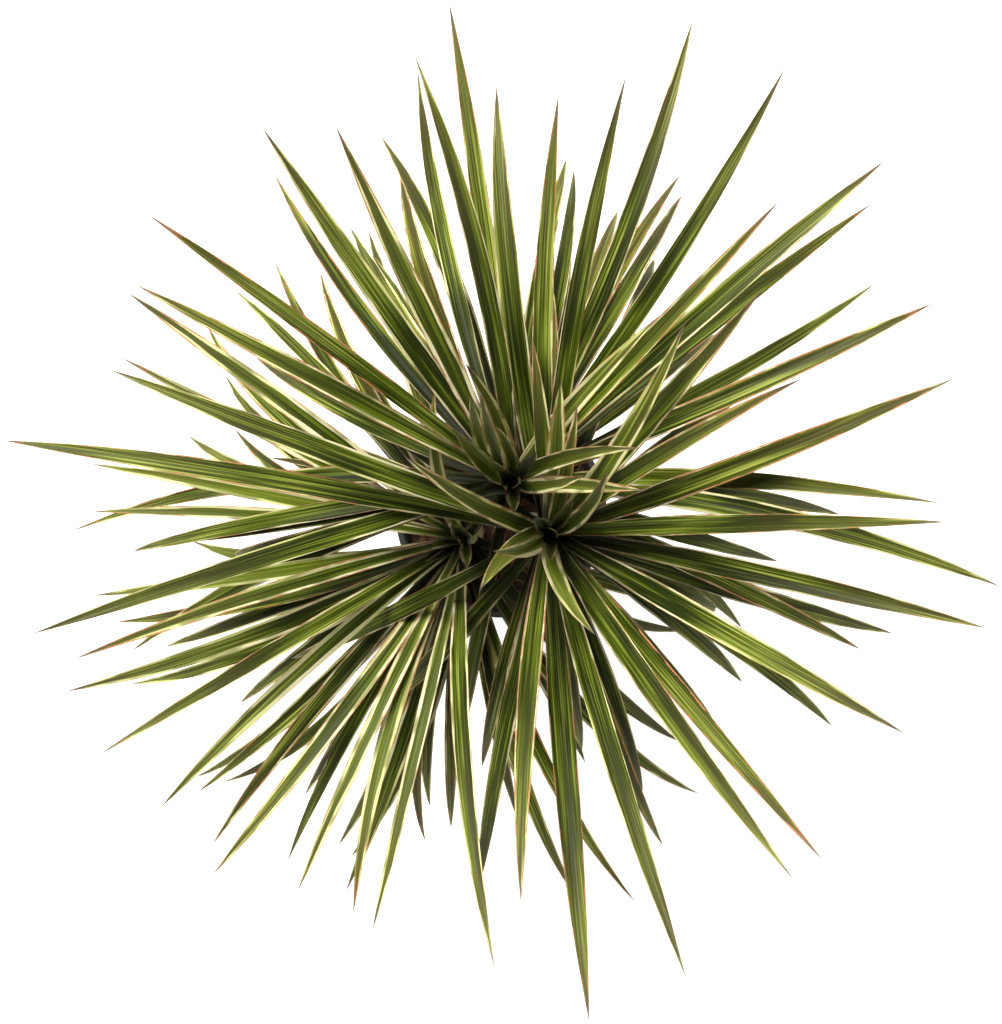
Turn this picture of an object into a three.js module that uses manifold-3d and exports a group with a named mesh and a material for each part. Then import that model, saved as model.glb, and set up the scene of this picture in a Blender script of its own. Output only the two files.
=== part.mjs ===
// A potted bicolor madagascar dragon tree, seen in its photograph from straight above.
// Three bare canes of different heights stand in one pot. Each ends in a green shoot
// that carries a head of long, narrow leaves, each leaf a shallow channel.
// Millimetres, +Z up. The origin is the centre of the pot's foot, on the floor.

import * as THREE from 'three';
import { mergeVertices } from 'three/addons/utils/BufferGeometryUtils.js';
import Module from 'manifold-3d';

const wasm = await Module();
wasm.setup();

// Clearance between pieces that touch
const GAP = 0.3;

// Pot
const POT_HEIGHT = 165;
const POT_RIM_RADIUS = 92;
const POT_FOOT_RADIUS = 66;
const POT_WALL = 3.2;
const POT_FLOOR = 4;
const POT_EDGE = 2;
const RIM_BAND_HEIGHT = 20;
const RIM_BAND_STEP = 2.6;
const POT_SIDES = 40;
const DRAIN_HOLES = 6;
const DRAIN_RADIUS = 5;
const DRAIN_CIRCLE = 40;

// Potting mix
const SOIL_BELOW_RIM = 18;
const SOIL_CROWN = 4;
const SOIL_SIDES = 32;

// Canes
const CANE_BURIED = 95;
const CANE_SIDES = 10;
const CANE_RINGS = 9;
const CANE_SWELL = 0.6;
const CANE_FOOT_FLARE = 1.5;

// Shoots: the green stems that the leaves clasp
const SHOOT_SIDES = 8;
const SHOOT_FOOT_RADIUS = 10;
const SHOOT_TOP_RADIUS = 5;
const SHOOT_TIP = 12;
const SHOOT_BELOW_LEAVES = 12;

// Leaves
const ROOT_RADIUS = 2;
const BLADE_THICKNESS = 1.3;
const BLADE_TIP_THICKNESS = 0.8;
const CHANNEL_DEPTH = 0.12;
const ROOT_WIDTH = 0.55;
const WIDEST_AT = 0.42;
const TAPER_POWER = 2.6;
const ARCH_ABOVE = 46;
const ARCH_BELOW = 58;
const STRETCH = 0.97;
const STEEPEST_FOOT = 86;
const HANG_REACH = 0.62;
const PATH_STEPS = 24;
const AIM_ROUNDS = 8;
const BLADE_STATIONS = [0, 2, 7, 12, 17, 21];
const OUTER_STATIONS = [5, 7, 12, 17, 21];
const ROLL_SPREAD = 22;
const TWIST_SPREAD = 26;
const CLEARANCE = 0.5;

// The youngest leaves are shorter and slimmer than the grown ones
const YOUNGEST_LENGTH = 0.42;
const YOUNGEST_WIDTH = 0.62;
const YOUNGEST_RANK = 4;
const GROWN_RANK = 22;

// How much two leaves of one age differ: least and most, as a share of the usual
const LENGTH_RANGE = [0.92, 1.08];
const WIDTH_RANGE = [0.86, 1.14];
const ARCH_RANGE = [0.75, 1.25];

// Leaves that are hidden from above: the reach of the first and of the last, and their bend
const HIDDEN_ABOVE_REACH = [6, 36];
const HIDDEN_BELOW_REACH = [205, 150];
const HIDDEN_BEND = 16;

// A leaf's reach is stated as it looks from above, at the level of the heads: from an eye
// this far over the floor, what hangs lower looks shorter than it is.
const EYE_HEIGHT = 2900;
const SIGHT_LEVEL = 700;

// Leaves that are hidden from above follow one another round the shoot by the golden angle
const GOLDEN_ANGLE = 137.508;
const GOLDEN_FRACTION = 0.618034;
const SECOND_FRACTION = 0.414214;

// What a leaf may do to pass its neighbours: turn round the shoot, in degrees, grow longer or
// shorter, which makes it steeper or flatter at the same reach, and arch more or less
const TURNS = [0, 1.5, -1.5, 3, -3, 5, -5, 8, -8, 12, -12, 17, -17];
const LENGTHS = [1, 1.05, 0.94, 1.1, 0.88, 0.82, 0.76, 0.7];
const ARCHES = [1, 0.6, 1.4, 0.2, 1.8];
const TURN_COST = 3;
const LENGTH_COST = 16;
const ARCH_COST = 3;

// The three stems. A leaf is written [bearing, reach, bend]: where its tip points, in degrees
// from +X towards +Y, how far out the tip is, and how much the leaf turns sideways on its way. A
// fourth number makes a leaf shorter than its age says, and so flatter. Leaves above the shoot's
// foot rise and arch over, youngest first; the others hang, oldest last.
const STEMS = [
  {
    name: 'tall',
    head: [34.5, -14.5],
    foot: [27, -13],
    shootTop: 660,
    leafZone: 128,
    caneRadius: 12,
    leafLength: 375,
    leafWidth: 15.4,
    above: [
      [198.9, 41, -56], [45.9, 60, 60], [220.5, 63, 60], [294.5, 79, 60], [77.1, 91, 10, 0.6],
      [85.1, 107, 0, 0.6], [152.1, 115, -28], [94.5, 135, 2, 0.6], [56.9, 177, 25],
      [31.1, 208, -17], [48.5, 226, 0], [265.8, 260, 12], [1.4, 280, -6], [330.5, 287, 1],
      [305.2, 297, 8], [309.9, 300, 3], [20.7, 305, 6], [88.6, 307, -12], [98.1, 314, -12],
      [347.6, 315, -5], [80.3, 324, -13], [159.7, 327, -1], [287.2, 327, 6], [274.8, 344, 3],
      [170.5, 388, 5],
    ],
    below: [
      [258.9, 261, 7], [343.6, 252, 4], [325.6, 241, -16], [290.1, 234, 13], [289.6, 196, -7],
      [19.1, 181, 1], [322.2, 172, -16], [254.3, 171, 10],
    ],
    hiddenAbove: 4,
    hiddenBelow: 13,
  },
  {
    name: 'middle',
    head: [8, 21],
    foot: [6, 20],
    shootTop: 625,
    leafZone: 122,
    caneRadius: 11,
    leafLength: 370,
    leafWidth: 14.6,
    above: [
      [105.9, 43, 42], [6.8, 52, 42], [136.5, 57, -32], [115, 69, -42], [108.2, 69, -28],
      [111.2, 91, 32], [357.3, 92, -4], [15.6, 93, -39], [48.7, 157, -12], [46.6, 273, 1],
      [116.2, 280, -4], [152.1, 299, 0], [357.4, 300, -16], [125, 305, -3], [102.8, 308, 20],
      [143.5, 318, 3], [23.2, 322, 6], [97.4, 340, 5], [40.9, 346, -4], [68.7, 349, 13],
      [56.7, 349, 11], [348.1, 350, -20], [197.4, 353, 3],
    ],
    below: [
      [37.9, 320, -4], [186.2, 311, 28], [102.8, 296, -13], [205.3, 292, 20], [28.9, 291, 12],
      [127.4, 274, -17], [334.6, 271, -3], [190.1, 269, 7], [110.7, 261, 19], [188.1, 251, -2],
      [61.4, 246, -12], [109.3, 236, -20], [59.5, 235, -1], [354.6, 231, -13], [80.4, 231, -8],
      [78.8, 224, 12], [122.2, 212, -8], [153.7, 200, -16], [327.9, 190, -29], [76.8, 181, 11],
    ],
    hiddenAbove: 4,
    hiddenBelow: 10,
  },
  {
    name: 'short',
    head: [-28, -20.5],
    foot: [-26, -18],
    shootTop: 490,
    leafZone: 118,
    caneRadius: 10.5,
    leafLength: 360,
    leafWidth: 14,
    above: [
      [101.2, 109, -42], [176, 263, 13], [188.8, 264, -5], [168.8, 268, 6], [152.3, 273, 1],
      [253.4, 275, 22], [244.6, 275, 4], [256.7, 283, -1], [221.5, 285, 12], [197.2, 288, 9],
      [144, 293, 4], [233.1, 296, -8], [210.6, 297, 1], [201, 300, -16], [273.9, 302, 18],
    ],
    below: [
      [295.1, 282, 25], [230.5, 279, 10], [287.3, 265, 20], [251.3, 262, -8], [223.5, 259, -11],
      [241.2, 259, 10], [203.5, 256, -25], [221.5, 253, -25], [193.5, 251, -15], [312.4, 242, 36],
      [225.1, 241, -42], [250.2, 238, -29], [132.9, 237, 11], [124.5, 235, -19],
      [140.5, 234, -33], [247.5, 233, -16], [107.5, 226, 0], [199.9, 224, -2], [262.6, 215, 33],
      [118.5, 213, -23], [238, 212, 0], [316.5, 207, 18], [159.7, 206, -24], [145.8, 203, -41],
      [267.2, 203, 5], [280.6, 201, 5], [216.2, 195, 6], [180.6, 191, -35], [262.5, 189, 23],
      [154.5, 179, -42], [298.1, 178, -8], [337.7, 170, 35],
    ],
    hiddenAbove: 4,
    hiddenBelow: 4,
  },
];

const POT_MATERIAL = new THREE.MeshStandardMaterial({ color: 0x3a3836, roughness: 0.55, metalness: 0 });
const SOIL_MATERIAL = new THREE.MeshStandardMaterial({ color: 0x3b2a1e, roughness: 0.95, metalness: 0 });
const CANE_MATERIAL = new THREE.MeshStandardMaterial({ color: 0x8c7a62, roughness: 0.85, metalness: 0 });
const LEAF_MATERIAL = new THREE.MeshStandardMaterial({ color: 0x5d7a26, roughness: 0.45, metalness: 0 });

const radians = THREE.MathUtils.degToRad;
const degrees = THREE.MathUtils.radToDeg;
const { lerp } = THREE.MathUtils;

// An even scatter between 0 and 1 that needs no random numbers
function scatter(index, row) {
  const value = (index + 1) * GOLDEN_FRACTION + row * SECOND_FRACTION;
  return value - Math.floor(value);
}

// Solids from closed shapes, and back

function solidOf(geometry) {
  const bare = geometry.index ? geometry.toNonIndexed() : geometry.clone();
  bare.deleteAttribute('normal');
  bare.deleteAttribute('uv');
  const merged = mergeVertices(bare, 1e-4);
  return new wasm.Manifold(new wasm.Mesh({
    numProp: 3,
    vertProperties: new Float32Array(merged.attributes.position.array),
    triVerts: new Uint32Array(merged.index.array),
  }));
}

function geometryOf(solid) {
  const mesh = solid.getMesh();
  const geometry = new THREE.BufferGeometry();
  geometry.setAttribute('position', new THREE.BufferAttribute(mesh.vertProperties, 3));
  geometry.setIndex(new THREE.BufferAttribute(mesh.triVerts, 1));
  return geometry;
}

// The outer skin of a fused body: a space closed off between blades is filled, a scrap dropped
function outerSkin(geometry) {
  const position = geometry.attributes.position;
  const index = Array.from(geometry.index.array);
  const parent = Array.from({ length: position.count }, (_, i) => i);
  const rootOf = (i) => {
    while (parent[i] !== i) i = parent[i];
    return i;
  };
  for (let t = 0; t < index.length; t += 3) {
    const roots = [0, 1, 2].map((k) => rootOf(index[t + k]));
    const lowest = Math.min(...roots);
    roots.forEach((root) => { parent[root] = lowest; });
  }
  const skins = new Map();
  const corner = [0, 1, 2].map(() => new THREE.Vector3());
  for (let t = 0; t < index.length; t += 3) {
    const root = rootOf(index[t]);
    const skin = skins.get(root) ?? { volume: 0, index: [] };
    corner.forEach((vertex, k) => vertex.fromBufferAttribute(position, index[t + k]));
    skin.volume += corner[0].dot(corner[1].clone().cross(corner[2])) / 6;
    skin.index.push(index[t], index[t + 1], index[t + 2]);
    skins.set(root, skin);
  }
  const outer = [...skins.values()].reduce((one, other) => (other.volume > one.volume ? other : one));
  geometry.setIndex(outer.index);
  return geometry;
}

// A turned body about the Z axis; the profile is a list of [radius, height]
function turned(profile, sides) {
  const points = profile.map(([radius, height]) => new THREE.Vector2(radius, height));
  return new THREE.LatheGeometry(points, sides).rotateX(Math.PI / 2);
}

// Pot: a tapered wall with a stepped rim band, and drain holes round the middle of its floor

function potRadiusAt(height) {
  return POT_FOOT_RADIUS + (POT_RIM_RADIUS - RIM_BAND_STEP - POT_FOOT_RADIUS) * height / POT_HEIGHT;
}

function makePot() {
  const bandFoot = POT_HEIGHT - RIM_BAND_HEIGHT;
  const inside = (height) => potRadiusAt(height) - POT_WALL;
  const wall = solidOf(turned([
    [0, 0],
    [POT_FOOT_RADIUS - POT_EDGE, 0],
    [potRadiusAt(POT_EDGE), POT_EDGE],
    [potRadiusAt(bandFoot), bandFoot],
    [POT_RIM_RADIUS - POT_EDGE / 2, bandFoot + POT_EDGE / 2],
    [POT_RIM_RADIUS, bandFoot + POT_EDGE],
    [POT_RIM_RADIUS, POT_HEIGHT - POT_EDGE / 2],
    [POT_RIM_RADIUS - POT_EDGE / 2, POT_HEIGHT],
    [inside(POT_HEIGHT) + POT_EDGE / 2, POT_HEIGHT],
    [inside(POT_HEIGHT), POT_HEIGHT - POT_EDGE / 2],
    [inside(POT_FLOOR), POT_FLOOR],
    [0, POT_FLOOR],
  ], POT_SIDES));
  let pot = wall;
  for (let i = 0; i < DRAIN_HOLES; i += 1) {
    const angle = (2 * Math.PI * i) / DRAIN_HOLES;
    const hole = new THREE.CylinderGeometry(DRAIN_RADIUS, DRAIN_RADIUS, 3 * POT_FLOOR, 12)
      .rotateX(Math.PI / 2)
      .translate(DRAIN_CIRCLE * Math.cos(angle), DRAIN_CIRCLE * Math.sin(angle), 0);
    pot = pot.subtract(solidOf(hole));
  }
  return pot;
}

// Potting mix: one body that fills the pot, domed a little, with a plain hole for each cane

const SOIL_TOP = POT_HEIGHT - SOIL_BELOW_RIM;
const CANE_FOOT = SOIL_TOP - CANE_BURIED;

function makeSoil() {
  const edge = (height) => potRadiusAt(height) - POT_WALL - 3 * GAP;
  let soil = solidOf(turned([
    [0, POT_FLOOR + GAP],
    [edge(POT_FLOOR), POT_FLOOR + GAP],
    [edge(SOIL_TOP), SOIL_TOP],
    [edge(SOIL_TOP) * 0.8, SOIL_TOP + SOIL_CROWN * 0.6],
    [edge(SOIL_TOP) * 0.45, SOIL_TOP + SOIL_CROWN],
    [0, SOIL_TOP + SOIL_CROWN],
  ], SOIL_SIDES));
  for (const stem of STEMS) {
    const radius = stem.caneRadius + CANE_FOOT_FLARE + GAP + CANE_SWELL;
    const foot = CANE_FOOT - GAP;
    const top = POT_HEIGHT;
    const hole = new THREE.CylinderGeometry(radius, radius, top - foot, CANE_SIDES)
      .rotateX(Math.PI / 2)
      .translate(stem.foot[0], stem.foot[1], (top + foot) / 2);
    soil = soil.subtract(solidOf(hole));
  }
  return soil;
}

// Cane: a round woody stem, a little swollen at each old leaf ring. It stands upright in the
// mix and leans gently above it, so that its top lies under the head.

function caneShift(stem, height) {
  const top = stem.shootTop - stem.leafZone - SHOOT_BELOW_LEAVES;
  const t = THREE.MathUtils.smoothstep(height, POT_HEIGHT, top);
  return [
    stem.foot[0] + (stem.head[0] - stem.foot[0]) * t,
    stem.foot[1] + (stem.head[1] - stem.foot[1]) * t,
  ];
}

function makeCane(stem) {
  const foot = CANE_FOOT;
  const top = stem.shootTop - stem.leafZone - SHOOT_BELOW_LEAVES - GAP;
  const profile = [[0, foot], [stem.caneRadius + CANE_FOOT_FLARE, foot]];
  profile.push([stem.caneRadius + CANE_FOOT_FLARE, SOIL_TOP + 2 * SOIL_CROWN]);
  const start = POT_HEIGHT;
  for (let i = 0; i < CANE_RINGS; i += 1) {
    const ring = start + ((top - start) * (i + 0.5)) / CANE_RINGS;
    const half = (top - start) / CANE_RINGS / 2;
    profile.push([stem.caneRadius, ring - half * 0.7]);
    profile.push([stem.caneRadius + CANE_SWELL, ring]);
  }
  profile.push([SHOOT_FOOT_RADIUS + 0.5, top]);
  profile.push([0, top]);
  const body = turned(profile, CANE_SIDES);
  const position = body.attributes.position;
  for (let i = 0; i < position.count; i += 1) {
    const [x, y] = caneShift(stem, position.getZ(i));
    position.setX(i, position.getX(i) + x);
    position.setY(i, position.getY(i) + y);
  }
  return solidOf(body);
}

// Shoot: the slim green stem inside a head of leaves

function makeShoot(stem) {
  const foot = stem.shootTop - stem.leafZone - SHOOT_BELOW_LEAVES;
  const shoot = turned([
    [0, foot],
    [SHOOT_FOOT_RADIUS, foot],
    [SHOOT_TOP_RADIUS, stem.shootTop],
    [0, stem.shootTop + SHOOT_TIP],
  ], SHOOT_SIDES);
  return solidOf(shoot.translate(stem.head[0], stem.head[1], 0));
}

// Leaves

// Every leaf of one stem, youngest first, with its place on the shoot and its natural form
function leavesOf(stem) {
  const leaves = [];
  const add = (bearing, reach, bend, rising, seen, share = 1) => {
    const age = rising ? reach : 1000 - reach;
    leaves.push({ stem, bearing, reach, bend, rising, seen, age, share });
  };
  stem.above.forEach(([bearing, reach, bend, share]) => add(bearing, reach, bend, true, true, share));
  stem.below.forEach(([bearing, reach, bend]) => add(bearing, reach, bend, false, true));
  for (let i = 0; i < stem.hiddenAbove; i += 1) {
    const reach = lerp(...HIDDEN_ABOVE_REACH, i / stem.hiddenAbove);
    add(GOLDEN_ANGLE * i, reach, HIDDEN_BEND * (scatter(i, 1) - 0.5), true, false);
  }
  for (let i = 0; i < stem.hiddenBelow; i += 1) {
    const reach = lerp(...HIDDEN_BELOW_REACH, i / stem.hiddenBelow);
    add(GOLDEN_ANGLE * (i + 0.5), reach, HIDDEN_BEND * (scatter(i, 2) - 0.5), false, false);
  }
  leaves.sort((one, other) => one.age - other.age);
  const seenScale = (EYE_HEIGHT - SIGHT_LEVEL) / (EYE_HEIGHT - stem.shootTop + stem.leafZone / 2);
  leaves.forEach((leaf, i) => {
    const pointing = radians(leaf.bearing);
    leaf.seenTip = [
      stem.head[0] * seenScale + leaf.reach * Math.cos(pointing),
      stem.head[1] * seenScale + leaf.reach * Math.sin(pointing),
    ];
    const grown = Math.min(1, (i + YOUNGEST_RANK) / GROWN_RANK);
    leaf.height = stem.shootTop - (stem.leafZone * i) / leaves.length;
    leaf.length = stem.leafLength * lerp(YOUNGEST_LENGTH, 1, grown) * lerp(...LENGTH_RANGE, scatter(i, 3));
    leaf.length *= leaf.share;
    if (!leaf.rising) leaf.length = Math.min(leaf.length, leaf.reach / HANG_REACH);
    leaf.width = stem.leafWidth * lerp(YOUNGEST_WIDTH, 1, grown) * lerp(...WIDTH_RANGE, scatter(i, 4));
    leaf.roll = ROLL_SPREAD * (scatter(i, 5) - 0.5);
    leaf.twist = TWIST_SPREAD * (scatter(i, 6) - 0.5);
    leaf.arch = (leaf.rising ? ARCH_ABOVE : ARCH_BELOW) * lerp(...ARCH_RANGE, scatter(i, 7));
  });
  return leaves;
}

// A bent stretch is shorter from end to end than along its curve, by sin(a)/a of half its bend
function chordOf(bend) {
  const half = radians(bend) / 2;
  return Math.abs(half) < 1e-6 ? 1 : Math.sin(half) / half;
}

// The blade's forward, side and upper directions at a share of the way along it
function directionsAt(leaf, { bearing, slope, arch }, along) {
  const heading = radians(bearing + leaf.bend * (along - 0.5));
  const rise = radians(slope + arch * (0.5 - along));
  const forward = new THREE.Vector3(
    Math.cos(rise) * Math.cos(heading),
    Math.cos(rise) * Math.sin(heading),
    Math.sin(rise),
  );
  const level = new THREE.Vector3(-Math.sin(heading), Math.cos(heading), 0);
  const upper = new THREE.Vector3().crossVectors(forward, level);
  const roll = radians(leaf.roll + leaf.twist * along);
  const side = level.clone().multiplyScalar(Math.cos(roll)).addScaledVector(upper, Math.sin(roll));
  upper.multiplyScalar(Math.cos(roll)).addScaledVector(level, -Math.sin(roll));
  return { forward, side, upper };
}

// The midrib as a row of points, each with the blade's side and upper directions
function midribOf(leaf, aimed) {
  const { head } = leaf.stem;
  const step = aimed.length / PATH_STEPS;
  const out = radians(aimed.bearing - leaf.bend / 2);
  const point = new THREE.Vector3(
    head[0] + ROOT_RADIUS * Math.cos(out),
    head[1] + ROOT_RADIUS * Math.sin(out),
    leaf.height,
  );
  const midrib = [];
  for (let i = 0; i <= PATH_STEPS; i += 1) {
    const along = i / PATH_STEPS;
    const { side, upper } = directionsAt(leaf, aimed, along);
    midrib.push({ point: point.clone(), side, upper, along });
    point.addScaledVector(directionsAt(leaf, aimed, along + 0.5 / PATH_STEPS).forward, step);
  }
  return midrib;
}

// Where a leaf points and how steep it stands, so that its tip shows at its stated place. What
// lies lower is seen nearer the middle, and a bent leaf ends beside the way it points, so both
// are found in a few rounds. A leaf that is too short for its reach grows to it, and a young,
// steep one arches less, so that its foot never leans back. At last the leaf may be turned, to
// pass a neighbour.
function aim(leaf, [turn, longer, archer]) {
  const { head } = leaf.stem;
  const natural = leaf.length * longer;
  let { bearing, reach } = leaf;
  let arch = leaf.arch * archer;
  let aimed;
  for (let round = 0; round < AIM_ROUNDS; round += 1) {
    const run = chordOf(arch) * chordOf(leaf.bend);
    const length = Math.max(natural, reach / (run * STRETCH));
    const steep = degrees(Math.acos(Math.min(1, reach / (length * run))));
    if (leaf.rising) arch = Math.min(arch, 2 * Math.max(0, STEEPEST_FOOT - steep));
    aimed = { bearing, slope: leaf.rising ? steep : -steep, arch, length };
    const tip = midribOf(leaf, aimed)[PATH_STEPS].point;
    const scale = (EYE_HEIGHT - tip.z) / (EYE_HEIGHT - SIGHT_LEVEL);
    const wanted = [leaf.seenTip[0] * scale - head[0], leaf.seenTip[1] * scale - head[1]];
    const found = [tip.x - head[0], tip.y - head[1]];
    const aside = Math.atan2(wanted[1], wanted[0]) - Math.atan2(found[1], found[0]);
    bearing += degrees(Math.atan2(Math.sin(aside), Math.cos(aside)));
    reach *= Math.hypot(...wanted) / Math.max(1, Math.hypot(...found));
  }
  aimed.bearing += turn;
  return aimed;
}

function widthAt(along) {
  if (along < WIDEST_AT) {
    const t = along / WIDEST_AT;
    return ROOT_WIDTH + (1 - ROOT_WIDTH) * Math.sin((t * t * Math.PI) / 2);
  }
  return 1 - ((along - WIDEST_AT) / (1 - WIDEST_AT)) ** TAPER_POWER;
}

// A blade: two edges and the upper and lower midrib at each station, and one point at the tip.
// Both faces are split the same way, so that they stay parallel where the blade bends.
function makeBlade(leaf, midrib, stations, grow) {
  const vertices = [];
  const triangles = [];
  const push = (point) => vertices.push(point.x, point.y, point.z);
  for (const station of stations) {
    const { point, side, upper, along } = midrib[station];
    const half = (leaf.width * widthAt(along)) / 2 + grow;
    const channel = leaf.width * widthAt(along) * CHANNEL_DEPTH;
    const thickness = lerp(BLADE_THICKNESS, BLADE_TIP_THICKNESS, along) + 2 * grow;
    push(point.clone().addScaledVector(side, -half).addScaledVector(upper, channel));
    push(point.clone().addScaledVector(upper, thickness / 2));
    push(point.clone().addScaledVector(side, half).addScaledVector(upper, channel));
    push(point.clone().addScaledVector(upper, -thickness / 2));
  }
  push(midrib[PATH_STEPS].point);
  const last = stations.length - 1;
  const tip = stations.length * 4;
  for (let i = 0; i < last; i += 1) {
    const [a, b] = [i * 4, (i + 1) * 4];
    for (const middle of [1, 3]) {
      const [right, left] = middle === 1 ? [2, 0] : [0, 2];
      triangles.push(a + middle, b + right, a + right, a + middle, b + middle, b + right);
      triangles.push(a + middle, a + left, b + left, a + middle, b + left, b + middle);
    }
  }
  for (let k = 0; k < 4; k += 1) triangles.push(last * 4 + k, tip, last * 4 + ((k + 1) % 4));
  triangles.push(0, 1, 3, 1, 2, 3);
  return new wasm.Manifold(new wasm.Mesh({
    numProp: 3,
    vertProperties: new Float32Array(vertices),
    triVerts: new Uint32Array(triangles),
  }));
}

function reachesInto(one, other) {
  const a = one.box;
  const b = other.box;
  for (let k = 0; k < 3; k += 1) {
    if (a.min[k] > b.max[k] || b.min[k] > a.max[k]) return false;
  }
  const common = one.solid.intersect(other.solid);
  const meets = !common.isEmpty();
  common.delete();
  return meets;
}

function boxed(solid) {
  return { solid, box: solid.boundingBox() };
}

// Every mixture of a turn, a length and an arch, the one that changes the leaf least first
function waysPast() {
  const ways = TURNS.flatMap((turn) => LENGTHS.flatMap((longer) => ARCHES.map((archer) => (
    [turn, longer, archer]
  ))));
  const change = ([turn, longer, archer]) => (
    TURN_COST * Math.abs(turn) + LENGTH_COST * Math.abs(longer - 1) + ARCH_COST * Math.abs(archer - 1)
  );
  return ways.sort((one, other) => change(one) - change(other));
}

// Sets the leaves one by one, those seen from above first and the youngest of them first. A leaf
// keeps clear of the pot, the mix, the canes and all that grows on the other stems, and the outer
// part of a leaf keeps clear of its own head's. A leaf with no way past is left out.
function setLeaves(stems) {
  const still = [makePot(), makeSoil(), ...stems.map(makeCane)].map(boxed);
  const shoots = new Map(stems.map((stem) => [stem, boxed(makeShoot(stem))]));
  const grown = new Map(stems.map((stem) => [stem, []]));
  const leaves = stems.flatMap(leavesOf);
  const order = leaves.sort((one, other) => (other.seen - one.seen) || (one.age - other.age));
  const ways = waysPast();
  for (const leaf of order) {
    const others = stems.filter((stem) => stem !== leaf.stem);
    const strangers = still.concat(others.flatMap((stem) => [
      shoots.get(stem),
      ...grown.get(stem).map((other) => other.whole),
    ]));
    const kin = grown.get(leaf.stem);
    const way = ways.find((trial) => {
      const midrib = midribOf(leaf, aim(leaf, trial));
      const whole = boxed(makeBlade(leaf, midrib, BLADE_STATIONS, CLEARANCE));
      const outer = boxed(makeBlade(leaf, midrib, OUTER_STATIONS, 0));
      const meets = strangers.some((other) => reachesInto(whole, other))
        || kin.some((other) => reachesInto(outer, other.outer));
      whole.solid.delete();
      outer.solid.delete();
      return !meets;
    });
    if (!way) continue;
    const midrib = midribOf(leaf, aim(leaf, way));
    grown.get(leaf.stem).push({
      whole: boxed(makeBlade(leaf, midrib, BLADE_STATIONS, 0)),
      outer: boxed(makeBlade(leaf, midrib, OUTER_STATIONS, 0)),
    });
  }
  return grown;
}

function makeCrown(stem, leaves) {
  return leaves.reduce((crown, leaf) => crown.add(leaf.whole.solid), makeShoot(stem));
}

// The whole plant

const plant = new THREE.Group();

function addPiece(name, geometry, material) {
  const mesh = new THREE.Mesh(geometry, material);
  mesh.name = name;
  plant.add(mesh);
}

addPiece('pot', geometryOf(makePot()), POT_MATERIAL);
addPiece('potting_mix', geometryOf(makeSoil()), SOIL_MATERIAL);
const grownLeaves = setLeaves(STEMS);
for (const stem of STEMS) {
  addPiece(`cane_${stem.name}`, geometryOf(makeCane(stem)), CANE_MATERIAL);
  const crown = makeCrown(stem, grownLeaves.get(stem));
  addPiece(`crown_${stem.name}`, outerSkin(geometryOf(crown)), LEAF_MATERIAL);
}

export default plant;
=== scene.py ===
# %% [markdown]
# # A potted bicolor madagascar dragon tree, seen from straight above
#
# The object is a house plant: three bare canes of different heights stand in one plain
# plastic pot, and each carries a mop of long, narrow, striped leaves. The photograph looks
# straight down on it, so the leaves hide the canes and the pot; the other views show them.
#
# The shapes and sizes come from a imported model, the frame, whose solids are plain. This
# lesson dresses that frame: every leaf, cane, pot wall and crumb of potting mix is made
# again as a fine mesh in the same place, with a finish built from shader nodes.

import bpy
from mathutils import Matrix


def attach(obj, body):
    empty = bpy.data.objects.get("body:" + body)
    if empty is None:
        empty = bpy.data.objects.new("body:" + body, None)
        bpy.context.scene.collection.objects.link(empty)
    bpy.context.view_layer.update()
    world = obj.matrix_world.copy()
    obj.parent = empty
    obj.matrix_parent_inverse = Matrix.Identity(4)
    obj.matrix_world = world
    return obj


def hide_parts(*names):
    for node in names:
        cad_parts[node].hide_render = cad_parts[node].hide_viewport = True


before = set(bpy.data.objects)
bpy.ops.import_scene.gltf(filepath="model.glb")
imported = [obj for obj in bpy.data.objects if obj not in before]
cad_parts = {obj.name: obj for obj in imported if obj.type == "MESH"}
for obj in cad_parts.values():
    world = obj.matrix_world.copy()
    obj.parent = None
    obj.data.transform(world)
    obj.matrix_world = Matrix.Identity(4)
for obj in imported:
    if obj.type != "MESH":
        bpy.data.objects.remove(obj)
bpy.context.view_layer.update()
print("frame pieces:", ", ".join(sorted(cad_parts)))

# %% [markdown]
# ## Units and helpers
#
# Blender works in metres, while a leaf is easier to think of in millimetres, so lengths are
# written in millimetres and multiplied by MM when a mesh is made. One helper turns lists of
# points and faces into a smooth object, so that each later cell is only about its shape.

# %% Units and the mesh helper
import math
import random

import bmesh
import bpy
import numpy as np
from mathutils import Matrix, Vector, kdtree, noise

MM = 0.001
scene = bpy.context.scene


def add_to_scene(name, data):
    """An object that holds a mesh, a lamp or a camera."""
    made = bpy.data.objects.new(name, data)
    scene.collection.objects.link(made)
    return made


def mesh_piece(name, points, faces):
    """A smooth object from faces and from points in millimetres."""
    mesh = bpy.data.meshes.new(name)
    mesh.from_pydata((np.asarray(points, float) * MM).tolist(), [], faces, shade_flat=False)
    mesh.update()
    return add_to_scene(name, mesh)


def dress(piece, material, slot, *nodes):
    """Gives a piece its material and its body and hides the plain solids it stands for; slot is
    not used.
    """
    piece.data.materials.clear()
    piece.data.materials.append(material)
    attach(piece, "root")
    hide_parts(*nodes)
    triangles = sum(len(face.vertices) - 2 for face in piece.data.polygons)
    print(f"{piece.name}: {triangles} triangles, stands for {', '.join(nodes)}")


print("one millimetre is", MM, "of Blender's metres")

# %% [markdown]
# ## The camera
#
# The photograph was taken from straight above. At the height of the leaf heads, 0.70 m over
# the floor, its frame covers 0.717 m from top to bottom. An eye 2.9 m over the floor gives
# the slight spread of the lower leaves; nearer would swell the tallest head too much. The
# picture is a little taller than wide, so Blender's sensor width belongs to its height.

# %% Camera
EYE_HEIGHT = 2900
SIGHT_LEVEL = 700
FRAME_AT_SIGHT = 716.8
SENSOR = 36
NEAREST_SEEN, FARTHEST_SEEN = 50, 100000

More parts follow.
